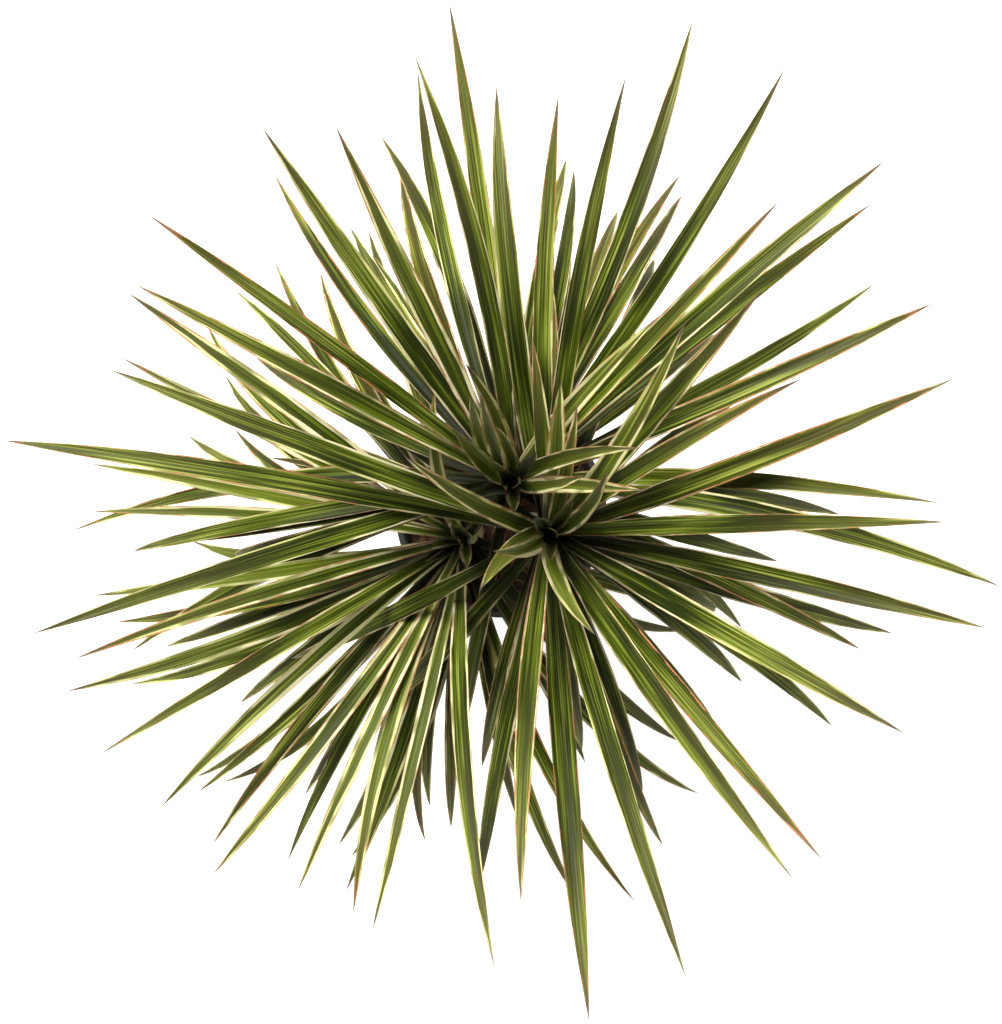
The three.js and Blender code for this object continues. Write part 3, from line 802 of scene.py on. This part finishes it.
def blade_form(one):
    """Along the blade: share of its length, half width, depth of channel and thickness."""
    even = np.linspace(0, 1, STATIONS)
    along = even - CROWDING * np.sin(2 * np.pi * even)
    clasp = CLASP * np.exp(-(along / CLASP_END) ** 2)
    half = one["width"] * (blade_width(along) + clasp) / 2
    if not one["rising"]:
        half = half * np.interp(along, [FINE_POINT_START, 1], [1, FINE_POINT])
    half = np.maximum(half, THINNEST_HALF)
    deeper = FOOT_CHANNEL * np.exp(-(along / FOOT_CHANNEL_END) ** 2)
    thick = np.interp(along, [0, 1], [FOOT_THICKNESS, TIP_THICKNESS])
    thick = thick * np.minimum(1, half / THINNING_HALF)
    return along, half, 2 * half * (CHANNEL + deeper), thick


print("places along a blade:", STATIONS)

# %% Rings of a blade
ACROSS = np.array([-1, -0.86, -0.6, -0.3, 0, 0.3, 0.6, 0.86, 1])
RING = 2 * len(ACROSS)
WAVE_HEIGHT, WAVE_LENGTH, OUT_OF_STEP = 0.35, 70, 0.83
EDGE_THINNING = 0.62
ROUND_FOLD = 0.65


def blade_rings(one):
    """Points of one blade as stations by ring, and its attributes at the same points."""
    along, half, channel, thick = blade_form(one)
    length = one["aimed"][3]
    centre = smooth_curve(one["points"], along * PATH_STEPS)
    _, side, upper = directions(one, one["aimed"], along)
    turns = 2 * np.pi * (length * along / WAVE_LENGTH + one["chance"] * 5)
    wave = WAVE_HEIGHT * np.minimum(along * 6, 1)
    faces = []
    for face, t in ((1, ACROSS), (-1, ACROSS[::-1])):
        body = 0.5 * face * thick[:, None] * (1 - EDGE_THINNING * t ** 2)
        edge = np.where(t < 0, np.sin(turns)[:, None], np.cos(turns * OUT_OF_STEP)[:, None])
        lift = channel[:, None] * ((1 - ROUND_FOLD) * np.abs(t) + ROUND_FOLD * t ** 2)
        lift = lift + body + wave[:, None] * edge * t ** 2
        faces.append(centre[:, None] + side[:, None] * (half[:, None] * t)[..., None]
                     + upper[:, None] * lift[..., None])

    def everywhere(*values):
        return np.stack([np.broadcast_to(value, (STATIONS, RING)) for value in values], -1)

    under = np.repeat([0.0, 1.0], len(ACROSS))
    blade = everywhere(np.concatenate([ACROSS, ACROSS[::-1]]), along[:, None], under)
    return np.concatenate(faces, 1), blade, everywhere(half[:, None], length, 0.0)


def ring_faces(stations, count, first):
    """Quads between neighbouring rings and one cap at each end."""
    row = np.arange(stations - 1)[:, None] * count + first
    k = np.arange(count)
    after = (k + 1) % count
    quads = np.stack([row + k, row + k + count, row + after + count, row + after], -1)
    faces = quads.reshape(-1, 4).tolist()
    faces.append(list(range(first, first + count)))
    last = first + (stations - 1) * count
    faces.append(list(range(last + count - 1, last - 1, -1)))
    return faces


def give_attribute(mesh, name, values):
    """Writes three values at each point of a mesh, for the finish to read."""
    made = mesh.attributes.new(name, "FLOAT_VECTOR", "POINT")
    made.data.foreach_set("vector", np.asarray(values, np.float32).ravel())


print("points on one blade:", STATIONS * RING)

# %% [markdown]
# ## The three heads of leaves
#
# One piece holds all blades of a head, because they share a finish and move together. How
# much cream a leaf shows differs from leaf to leaf, so each gets its own share by chance,
# the same one each time the script runs.

# %% Leaf heads
LEAST_CREAM, MOST_CREAM = 0.4, 1.7


def build_head(name, leaves):
    """All blades of one head as one piece."""
    points, faces, blade, size, growth = [], [], [], [], []
    for number, one in enumerate(leaves):
        faces += ring_faces(STATIONS, RING, number * STATIONS * RING)
        for store, values in zip((points, blade, size), blade_rings(one)):
            store.append(values.reshape(-1, 3))
        own = (one["rank"], one["chance"], between(number, 9, LEAST_CREAM, MOST_CREAM))
        growth.append(np.tile(own, (STATIONS * RING, 1)))
    piece = mesh_piece(f"leaves_{name}", np.concatenate(points), faces)
    for title, values in (("blade", blade), ("blade_size", size), ("growth", growth)):
        give_attribute(piece.data, title, np.concatenate(values))
    dress(piece, LEAF_FINISHES[name], "leaf", f"crown_{name}")


for name, leaves in HEADS.items():
    build_head(name, leaves)

# %% [markdown]
# ## A group for grime and mottling
#
# Bark, pot and potting mix are never one even colour. The group gives a soft cloudy value,
# a fine grain and a sprinkling of specks from the object's own coordinates, and each finish
# decides what they do: darken, lighten or roughen.

# %% Mottle group
MOTTLE, given, result = new_group(
    "mottle_and_specks",
    [("Cloud size", "value", 8.0), ("Grain size", "value", 400.0), ("Speck size", "value", 250.0)],
    [("Clouds", "value"), ("Grain", "value"), ("Specks", "value")],
)
own_space = node(MOTTLE, "TexCoord").outputs["Object"]
feed(MOTTLE, result["Clouds"], speckle(MOTTLE, own_space, given["Cloud size"], detail=4.0))
feed(MOTTLE, result["Grain"], speckle(MOTTLE, own_space, given["Grain size"], detail=2.0))
specks = speckle(MOTTLE, own_space, given["Speck size"], detail=1.0)
feed(MOTTLE, result["Specks"], ramp(MOTTLE, specks, 0.66, 0.72))
print("mottle group:", len(MOTTLE.nodes), "nodes")

# %% [markdown]
# ## Canes
#
# A dragon tree's cane is a woody stem, grey-tan and dry, crossed by the crescent scars of the
# leaves it has dropped. The scars follow the same golden-angle spiral as the leaves, so they
# read as a net of shallow diamonds. They are made in the mesh: each scar lifts a thin curved
# lip and hollows the bark under it. Where a cane meets the mix it swells a little.

# %% Leaf scars
SCAR_SAG = 5.2
LIP_HEIGHT, SCAR_HEIGHT, SCAR_BELOW_LIP = 0.55, 1.2, 1.7


def scar_relief(height, angle, pitch, reach):
    """Lip and hollow of the nearest leaf scars at a place on the stem, both 0 to 1."""
    lip, scar = 0.0, 0.0
    first = int((height - reach) / pitch)
    for i in range(first, first + int(2 * reach / pitch) + 2):
        turn = math.radians(GOLDEN_ANGLE * i)
        aside = math.atan2(math.sin(angle - turn), math.cos(angle - turn)) / math.pi
        sag = SCAR_SAG * math.cos(aside * math.pi / 2)
        up = height - (i * pitch - sag)
        width = max(0, 1 - abs(aside) ** 3)
        lip = max(lip, width * math.exp(-(up / LIP_HEIGHT) ** 2))
        scar = max(scar, width * math.exp(-((up - SCAR_BELOW_LIP) / SCAR_HEIGHT) ** 2))
    return lip, scar


def scarred_stem(name, heights, sides, centre, radius, pitch, reach):
    """A stem as a stack of rings; centre and radius tell its place and thickness."""
    points, scars = [], []
    for height in heights:
        x, y = centre(height)
        for k in range(sides):
            angle = 2 * math.pi * k / sides
            lip, scar = scar_relief(height, angle, pitch, reach)
            out = radius(height, angle, lip, scar)
            points.append((x + out * math.cos(angle), y + out * math.sin(angle), height))
            scars.append((lip, scar, height))
    faces = [list(reversed(face)) for face in ring_faces(len(heights), sides, 0)]
    piece = mesh_piece(name, points, faces)
    give_attribute(piece.data, "scar", scars)
    return piece


print("lip and hollow on a lip:", [round(s, 2) for s in scar_relief(-SCAR_SAG, 0, 3.6, 9)])

# %% Cane finish
CANE_FINISH, tree, shader = new_finish("cane_bark", Specular_IOR_Level=0.25)
lip, hollow, up_stem = parts_of(tree, measured(tree, "scar"))
cloudy = placed(tree, MOTTLE, Cloud_size=22.0, Grain_size=700.0, Speck_size=320.0)
place = node(tree, "VectorMath", operation="SCALE")
feed(tree, place.inputs[0], node(tree, "TexCoord").outputs["Object"])
place.inputs["Scale"].default_value = 1 / MM
fibres = placed(tree, STREAKS, Place=place.outputs[0], Fineness=0.5, Stretch=0.5)
bark = coated(
    tree, paint(92, 79, 60),
    (ramp(tree, cloudy["Clouds"], 0.35, 0.65), paint(138, 122, 98)),
    (ramp(tree, fibres["Fine"], 0.45, 0.7, 0.0, 0.4), paint(76, 64, 48)),
    (times(tree, hollow, 0.55), paint(72, 57, 42)),
    (times(tree, lip, 0.65), paint(166, 150, 124)),
    (ramp(tree, up_stem, 380.0, 520.0, 0.0, 0.35), paint(84, 86, 46)),
    (times(tree, cloudy["Specks"], 0.5), paint(70, 58, 44)),
)
finish_off(tree, shader, bark, ramp(tree, cloudy["Grain"], 0.3, 0.7, 0.72, 0.92),
           plus(tree, cloudy["Grain"], fibres["Fine"]), depth=0.3)
print("cane finish:", len(tree.nodes), "nodes")

# %% Canes
POT_HEIGHT = 165
SOIL_TOP = 147
CANE_FOOT = 52
CANE_BELOW_LEAVES = 12
CANE_SIDES = 56
FOOT_SWELLING, SWELLING_FADES = 1.5, 9
NARROWING_LENGTH, CANE_TOP_RADIUS = 40, 10
LIP_OUT, SCAR_IN, BARK_ROUGH = 0.45, 0.3, 0.35


def cane_top(stem):
    """Where the woody cane ends and the green shoot begins."""
    return stem["shoot_top"] - stem["leaf_zone"] - CANE_BELOW_LEAVES


def build_cane(name, stem):
    """A cane that is upright in the mix and leans gently above it to end under its head."""
    top, thick = cane_top(stem), stem["cane_radius"]

    def centre(height):
        t = min(1, max(0, (height - POT_HEIGHT) / (top - POT_HEIGHT)))
        t = t * t * (3 - 2 * t)
        return [f + (h - f) * t for f, h in zip(stem["foot"], stem["head"])]

    def radius(height, angle, lip, scar):
        swell = FOOT_SWELLING * math.exp(-max(0, height - SOIL_TOP) / SWELLING_FADES)
        late = min(1, max(0, (height - top + NARROWING_LENGTH) / NARROWING_LENGTH))
        rough = noise.noise(Vector((math.cos(angle) * 2, math.sin(angle) * 2, height / 14)))
        narrow = late * (thick - CANE_TOP_RADIUS)
        return thick + swell - narrow + LIP_OUT * lip - SCAR_IN * scar + BARK_ROUGH * rough

    heights = [CANE_FOOT, SOIL_TOP - 12, *np.arange(SOIL_TOP - 6, top, 1.1), top]
    piece = scarred_stem(f"cane_bark_{name}", heights, CANE_SIDES, centre, radius,
                         pitch=3.6, reach=9)
    dress(piece, CANE_FINISH, "cane_bark", f"cane_{name}")


for name, stem in STEMS.items():
    build_cane(name, stem)

# %% [markdown]
# ## Shoots
#
# Between the cane and the leaves, the stem is still green. It tapers to a growing point that
# the youngest leaves wrap, and is ringed closely by the feet of the leaves.

# %% Shoot finish
SHOOT_FINISH, tree, shader = new_finish("green_shoot", Specular_IOR_Level=0.35)
lip, _, _ = parts_of(tree, measured(tree, "scar"))
cloudy = placed(tree, MOTTLE, Cloud_size=60.0, Grain_size=900.0, Speck_size=420.0)
stem_green = coated(
    tree, paint(84, 92, 40),
    (ramp(tree, cloudy["Clouds"], 0.35, 0.65), paint(118, 122, 62)),
    (times(tree, lip, 0.7), paint(112, 80, 56)),
)
finish_off(tree, shader, stem_green, ramp(tree, cloudy["Grain"], 0.3, 0.7, 0.45, 0.65),
           cloudy["Grain"], depth=0.15)
print("shoot finish:", len(tree.nodes), "nodes")

# %% Shoots
SHOOT_SIDES = 40
SHOOT_FOOT_RADIUS, SHOOT_TOP_RADIUS, POINT_RADIUS = 10, 5, 4.5
POINT_HEIGHT = 12.5


def build_shoot(name, stem):
    """A slim cone of stem with the growing point on top of it."""
    foot, top = cane_top(stem), stem["shoot_top"]

    def radius(height, angle, lip, scar):
        share = (height - foot) / (top - foot)
        if share <= 1.001:
            width = SHOOT_FOOT_RADIUS - (SHOOT_FOOT_RADIUS - SHOOT_TOP_RADIUS) * min(1, share)
        else:
            width = POINT_RADIUS * max(0.04, 1 - (height - top) / POINT_HEIGHT)
        return width + (0.35 * lip - 0.2 * scar) * min(1, width / 4)

    heights = [*np.arange(foot, top, 1.2), top + 2, top + 8, top + 12]
    piece = scarred_stem(f"shoot_{name}", heights, SHOOT_SIDES, lambda height: stem["head"],
                         radius, pitch=2.4, reach=6)
    dress(piece, SHOOT_FINISH, "leaf", f"crown_{name}")


for name, stem in STEMS.items():
    build_shoot(name, stem)

# %% [markdown]
# ## The pot
#
# The photograph doesn't show the pot: the leaves hide it. It is made as a plain nursery pot
# such plants are sold in, a near-black moulded shell with a stepped rim band, a foot ring and
# six drain holes. Dark, because where gaps between the leaves look down on the pot, the
# photograph is near black. A turned profile of many points gives the soft mould radii. The
# holes are cut with a Boolean modifier that is applied at once.

# %% Profile of the pot
POT_FOOT_RADIUS = 66
POT_RIM_RADIUS = 92
RIM_STEP = 2.6
RIM_BAND_FOOT = 144
RIM_BAND_ROUND = 1.4
LIP_ROUND = 1.5
POT_WALL = 3.2
UNDERSIDE, INNER_FLOOR = 1.2, 4
NEAR_AXIS = 0.4


def pot_radius(height):
    """Outer radius of the pot's sloping wall, below the rim band."""
    return POT_FOOT_RADIUS + (POT_RIM_RADIUS - RIM_STEP - POT_FOOT_RADIUS) * height / POT_HEIGHT


def quarter(centre, radius, start, end, steps=6):
    """Part of a circle in the profile, angles in degrees from straight out to straight up."""
    angles = np.radians(np.linspace(start, end, steps))
    return [(centre[0] + radius * math.cos(a), centre[1] + radius * math.sin(a)) for a in angles]


def pot_profile():
    """Outline from the middle of the underside, up the outside, over the rim and down inside."""
    foot, inner = POT_FOOT_RADIUS, pot_radius(POT_HEIGHT) - POT_WALL
    band_edge = RIM_BAND_FOOT + 1 + RIM_BAND_ROUND
    lip = POT_HEIGHT - LIP_ROUND
    return [
        *((r, UNDERSIDE) for r in (NEAR_AXIS, 30, 48, foot - 6)),
        (foot - 5, 0.8), (foot - 4.6, 0.2), (foot - 4, 0),
        *quarter((foot - 2, 2), 2, -90, -8),
        *((pot_radius(z), z) for z in np.linspace(6, 140, 24)),
        *quarter((pot_radius(RIM_BAND_FOOT) + 1.2, RIM_BAND_FOOT), 1.2, 180, 120, 4),
        *quarter((POT_RIM_RADIUS - RIM_BAND_ROUND, band_edge), RIM_BAND_ROUND, -90, 0),
        *((POT_RIM_RADIUS, z) for z in (151, 156, 160)),
        *quarter((POT_RIM_RADIUS - LIP_ROUND, lip), LIP_ROUND, 0, 90),
        *quarter((inner + LIP_ROUND, lip), LIP_ROUND, 90, 180),
        *((pot_radius(z) - POT_WALL, z) for z in np.linspace(160, 8, 16)),
        (pot_radius(5) - POT_WALL - 1.5, INNER_FLOOR + 0.4),
        *((r, INNER_FLOOR) for r in (56, 48, 30, NEAR_AXIS)),
    ]


print("points in the pot's profile:", len(pot_profile()))

# %% Pot shell
POT_TURNS = 144
DRAIN_HOLES, DRAIN_RADIUS, DRAIN_CIRCLE, DRAIN_SIDES = 6, 5, 40, 32


def circle(radius, count, shift=0.0):
    """Evenly spaced places on a circle round the pot's axis."""
    angles = (2 * math.pi * (turn + shift) / count for turn in range(count))
    return [(radius * math.cos(a), radius * math.sin(a)) for a in angles]


def build_pot():
    """The profile, turned round the pot's axis."""
    profile = pot_profile()
    points = [(r * x, r * y, z) for x, y in circle(1, POT_TURNS) for r, z in profile]
    count = len(profile)
    faces = []
    for turn in range(POT_TURNS):
        a, b = turn * count, (turn + 1) % POT_TURNS * count
        faces += [(a + k, b + k, b + k + 1, a + k + 1) for k in range(count - 1)]
    faces.append([turn * count for turn in reversed(range(POT_TURNS))])
    faces.append([turn * count + count - 1 for turn in range(POT_TURNS)])
    return mesh_piece("pot_shell", points, faces)


def cut_drain_holes(pot):
    """Takes six short rods away from the pot's floor."""
    points, faces = [], []
    for hole, (x, y) in enumerate(circle(DRAIN_CIRCLE, DRAIN_HOLES)):
        points += [(x + dx, y + dy, z) for z in (-4, 10)
                   for dx, dy in circle(DRAIN_RADIUS, DRAIN_SIDES)]
        rod = ring_faces(2, DRAIN_SIDES, hole * 2 * DRAIN_SIDES)
        faces += [list(reversed(face)) for face in rod]
    cutter = mesh_piece("drain_cutter", points, faces)
    cut = pot.modifiers.new("drain_holes", "BOOLEAN")
    cut.operation, cut.object, cut.solver = "DIFFERENCE", cutter, "EXACT"
    bpy.context.view_layer.update()
    solved = pot.evaluated_get(bpy.context.evaluated_depsgraph_get())
    done = bpy.data.meshes.new_from_object(solved)
    pot.modifiers.clear()
    pot.data = done
    pot.data.shade_smooth()
    bpy.data.objects.remove(cutter)


# %% Pot finish
POT_FINISH, tree, shader = new_finish("matt_pot_plastic", Specular_IOR_Level=0.45)
cloudy = placed(tree, MOTTLE, Cloud_size=9.0, Grain_size=1400.0, Speck_size=150.0)
height = parts_of(tree, node(tree, "TexCoord").outputs["Object"])[2]
splash = times(tree, ramp(tree, height, 0.0, 45 * MM, 0.5, 0.0),
               ramp(tree, cloudy["Clouds"], 0.4, 0.65))
shell = coated(
    tree, paint(50, 48, 46),
    (ramp(tree, cloudy["Clouds"], 0.3, 0.7), paint(60, 58, 56)),
    (splash, paint(104, 94, 82)),
    (times(tree, cloudy["Specks"], 0.25), paint(112, 102, 90)),
)
finish_off(tree, shader, shell, ramp(tree, cloudy["Grain"], 0.3, 0.7, 0.5, 0.66),
           cloudy["Grain"], depth=0.08)

pot = build_pot()
cut_drain_holes(pot)
dress(pot, POT_FINISH, "pot_plastic", "pot")

# %% [markdown]
# ## Potting mix
#
# Peat and bark fines settle into a lumpy surface, a little higher round the canes, with bark
# chips and dusty grains of white perlite lying on it. The bed is a disc of points moved up
# and down by noise and closed below; the crumbs are small separate solids with seeded chance,
# so that each run gives the same bed.

# %% Potting bed
BED_RADIUS = 82.6
BED_RINGS = 64
BED_TURNS = 150
BED_SLOPE, BED_CLEARANCE = 0.142, 0.4
BED_DEPTHS = (120, 60, 4.5)
DOME_HEIGHT = 4
LUMP_SIZE, LUMP_HEIGHT = 11, 1.6
GRIT_SIZE, GRIT_HEIGHT = 2.1, 0.8
COLLAR_RADIUS, COLLAR_HEIGHT = 17, 1.32


def bed_height(x, y):
    """Height of the mix at a place: a low dome, lumps, and a collar round each cane."""
    out = math.hypot(x, y) / BED_RADIUS
    dome = DOME_HEIGHT * (1 - out ** 2)
    lumps = noise.fractal(Vector((x / LUMP_SIZE, y / LUMP_SIZE, 3)), 0.8, 2.1, 5)
    grit = noise.noise(Vector((x / GRIT_SIZE, y / GRIT_SIZE, 9)))
    rough = (LUMP_HEIGHT * lumps + GRIT_HEIGHT * grit) * min(1, 8 * (1.02 - out))
    collar = sum(math.exp(-(math.dist((x, y), stem["foot"]) / COLLAR_RADIUS) ** 4)
                 for stem in STEMS.values())
    return SOIL_TOP - 1 + dome + rough + COLLAR_HEIGHT * collar


def build_bed():
    """Rings of points over the surface, then down the side, closed by one face below."""
    points = [(0, 0, bed_height(0, 0))]
    for ring in range(1, BED_RINGS + 1):
        radius = BED_RADIUS * (ring / BED_RINGS) ** 0.8
        points += [(x, y, bed_height(x, y)) for x, y in circle(radius, BED_TURNS, ring % 2 / 2)]
    for depth in BED_DEPTHS:
        radius = BED_RADIUS - (SOIL_TOP - depth) * BED_SLOPE - BED_CLEARANCE
        points += [(x, y, depth) for x, y in circle(radius, BED_TURNS)]
    rows = BED_RINGS + len(BED_DEPTHS)
    faces = []
    for turn in range(BED_TURNS):
        after = (turn + 1) % BED_TURNS
        faces.append((0, 1 + turn, 1 + after))
        for row in range(rows - 1):
            a, b = 1 + row * BED_TURNS, 1 + (row + 1) * BED_TURNS
            faces.append((a + turn, b + turn, b + after, a + after))
    faces.append([1 + (rows - 1) * BED_TURNS + turn for turn in reversed(range(BED_TURNS))])
    return mesh_piece("potting_bed", points, faces)


print("mix in the middle of the pot:", round(bed_height(0, 0), 1), "mm up")

# %% Crumbs
CRUMB_BREADTH = 0.72
LARGEST_TILT = 0.4
CLEAR_OF_WALL, CLEAR_OF_CANE = 4, 15


def crumb_spot(chance):
    """A place on the bed, clear of the canes."""
    while True:
        out = (BED_RADIUS - CLEAR_OF_WALL) * math.sqrt(chance.random())
        angle = chance.random() * 2 * math.pi
        x, y = out * math.cos(angle), out * math.sin(angle)
        if all(math.dist((x, y), stem["foot"]) > CLEAR_OF_CANE for stem in STEMS.values()):
            return x, y


def build_crumbs(name, count, sizes, flatness, corners, seed, sink):
    """Many small convex lumps, each a hull round a few points on a squashed ball."""
    chance = random.Random(seed)
    work = bmesh.new()
    for _ in range(count):
        x, y = crumb_spot(chance)
        size = chance.uniform(*sizes)
        turn, tilt = chance.random() * math.pi, chance.uniform(-LARGEST_TILT, LARGEST_TILT)
        middle = Vector((x, y, bed_height(x, y) + size * flatness * sink))
        lie = Matrix.Rotation(turn, 3, "Z") @ Matrix.Rotation(tilt, 3, "X")
        verts = []
        for _ in range(corners):
            p = Vector([chance.gauss(0, 1) for _ in range(3)]).normalized() * size / 2
            p = lie @ Vector((p.x, p.y * CRUMB_BREADTH, p.z * flatness))
            verts.append(work.verts.new((p + middle) * MM))
        hull = bmesh.ops.convex_hull(work, input=verts)
        spare = [v for v in hull["geom_interior"] if isinstance(v, bmesh.types.BMVert)]
        bmesh.ops.delete(work, geom=spare, context="VERTS")
    mesh = bpy.data.meshes.new(name)
    work.to_mesh(mesh)
    work.free()
    return add_to_scene(name, mesh)


# %% Bed, bark chips and perlite


def crumb_finish(name, dark, light, rough, cloud):
    """A dry, dull finish that clouds from a dark to a light colour."""
    material, tree, shader = new_finish(name, Specular_IOR_Level=0.2)
    cloudy = placed(tree, MOTTLE, Cloud_size=cloud, Grain_size=1100.0, Speck_size=500.0)
    colour = coated(
        tree, paint(*dark),
        (ramp(tree, cloudy["Clouds"], 0.32, 0.68), paint(*light)),
        (ramp(tree, cloudy["Grain"], 0.4, 0.8, 0.0, 0.5), paint(*dark)),
    )
    finish_off(tree, shader, colour, ramp(tree, cloudy["Grain"], 0.3, 0.7, rough, 0.98),
               cloudy["Grain"], depth=0.5)
    return material


bed = build_bed()
chips = build_crumbs("bark_chips", count=620, sizes=(3.0, 9.5), flatness=0.38, corners=11,
                     seed=21, sink=0.28)
perlite = build_crumbs("perlite_grains", count=130, sizes=(1.4, 3.4), flatness=0.8, corners=16,
                       seed=22, sink=0.1)
for piece, finish in (
        (bed, crumb_finish("damp_peat", dark=(34, 23, 16), light=(66, 47, 33), rough=0.85,
                           cloud=120.0)),
        (chips, crumb_finish("bark_chip", dark=(62, 42, 28), light=(112, 80, 54), rough=0.8,
                             cloud=90.0)),
        (perlite, crumb_finish("perlite", dark=(150, 143, 130), light=(188, 182, 170),
                               rough=0.85, cloud=300.0))):
    dress(piece, finish, "potting_mix", "potting_mix")

# %% [markdown]
# ## The studio
#
# The photograph is a product picture on pure white. A photographer gets that from a pale
# table that glows a little, so that what falls on it as shadow stays faint. The floor does the
# same: it is a warm pale grey, so that it throws little light back up under the leaves, and it
# gives some light of its own to the camera alone, which makes it look white. The plant is lit
# by a broad soft light from above, like a large softbox, by a weak one from the other side and
# by a dim, slightly warm room. Dim, so that the gaps between the leaves go as dark as in the
# photograph. Both the floor and the room look white, so no horizon shows from the side.

# %% Floor
FLOOR_HALF = 30000
FLOOR_GLOW = 0.8

corners = ((-1, -1), (1, -1), (1, 1), (-1, 1))
floor = mesh_piece("studio_floor", [(x * FLOOR_HALF, y * FLOOR_HALF, 0) for x, y in corners],
                   [(0, 1, 2, 3)])
floor_finish, tree, shader = new_finish("pale_floor", Base_Color=(0.7, 0.69, 0.6, 1),
                                        Roughness=0.9, Specular_IOR_Level=0.1,
                                        Emission_Color=(1, 1, 1, 1))
seen = node(tree, "LightPath").outputs["Is Camera Ray"]
feed(tree, shader.inputs["Emission Strength"], times(tree, seen, FLOOR_GLOW))
floor.data.materials.append(floor_finish)
print("floor:", 2 * FLOOR_HALF * MM, "m across")

# %% Lights and room
ROOM_LIGHT, ROOM_AS_SEEN = 0.15, 1.2


def soft_sun(name, place, width, strength):
    """Light from far off that comes from a wide round patch of sky, its width in degrees."""
    data = bpy.data.lights.new(name, "SUN")
    data.angle, data.energy = math.radians(width), strength
    data.color = (1.0, 0.98, 0.93)
    lamp = add_to_scene(name, data)
    lamp.rotation_euler = (-Vector(place)).to_track_quat("-Z", "Y").to_euler()


soft_sun("overhead_softbox", place=(-0.35, 0.5, 1.0), width=28, strength=6.2)
soft_sun("side_softbox", place=(1.0, -0.5, 0.9), width=50, strength=0.6)

room = bpy.data.worlds.new("pale_room")
room.use_nodes = True
tree = room.node_tree
background = tree.nodes["Background"]
background.inputs["Color"].default_value = (1.0, 0.97, 0.87, 1)
seen = node(tree, "LightPath").outputs["Is Camera Ray"]
feed(tree, background.inputs["Strength"], spread(tree, seen, ROOM_LIGHT, ROOM_AS_SEEN))
scene.world = room
scene.view_settings.view_transform = "Standard"
print("lights:", len(bpy.data.lights))
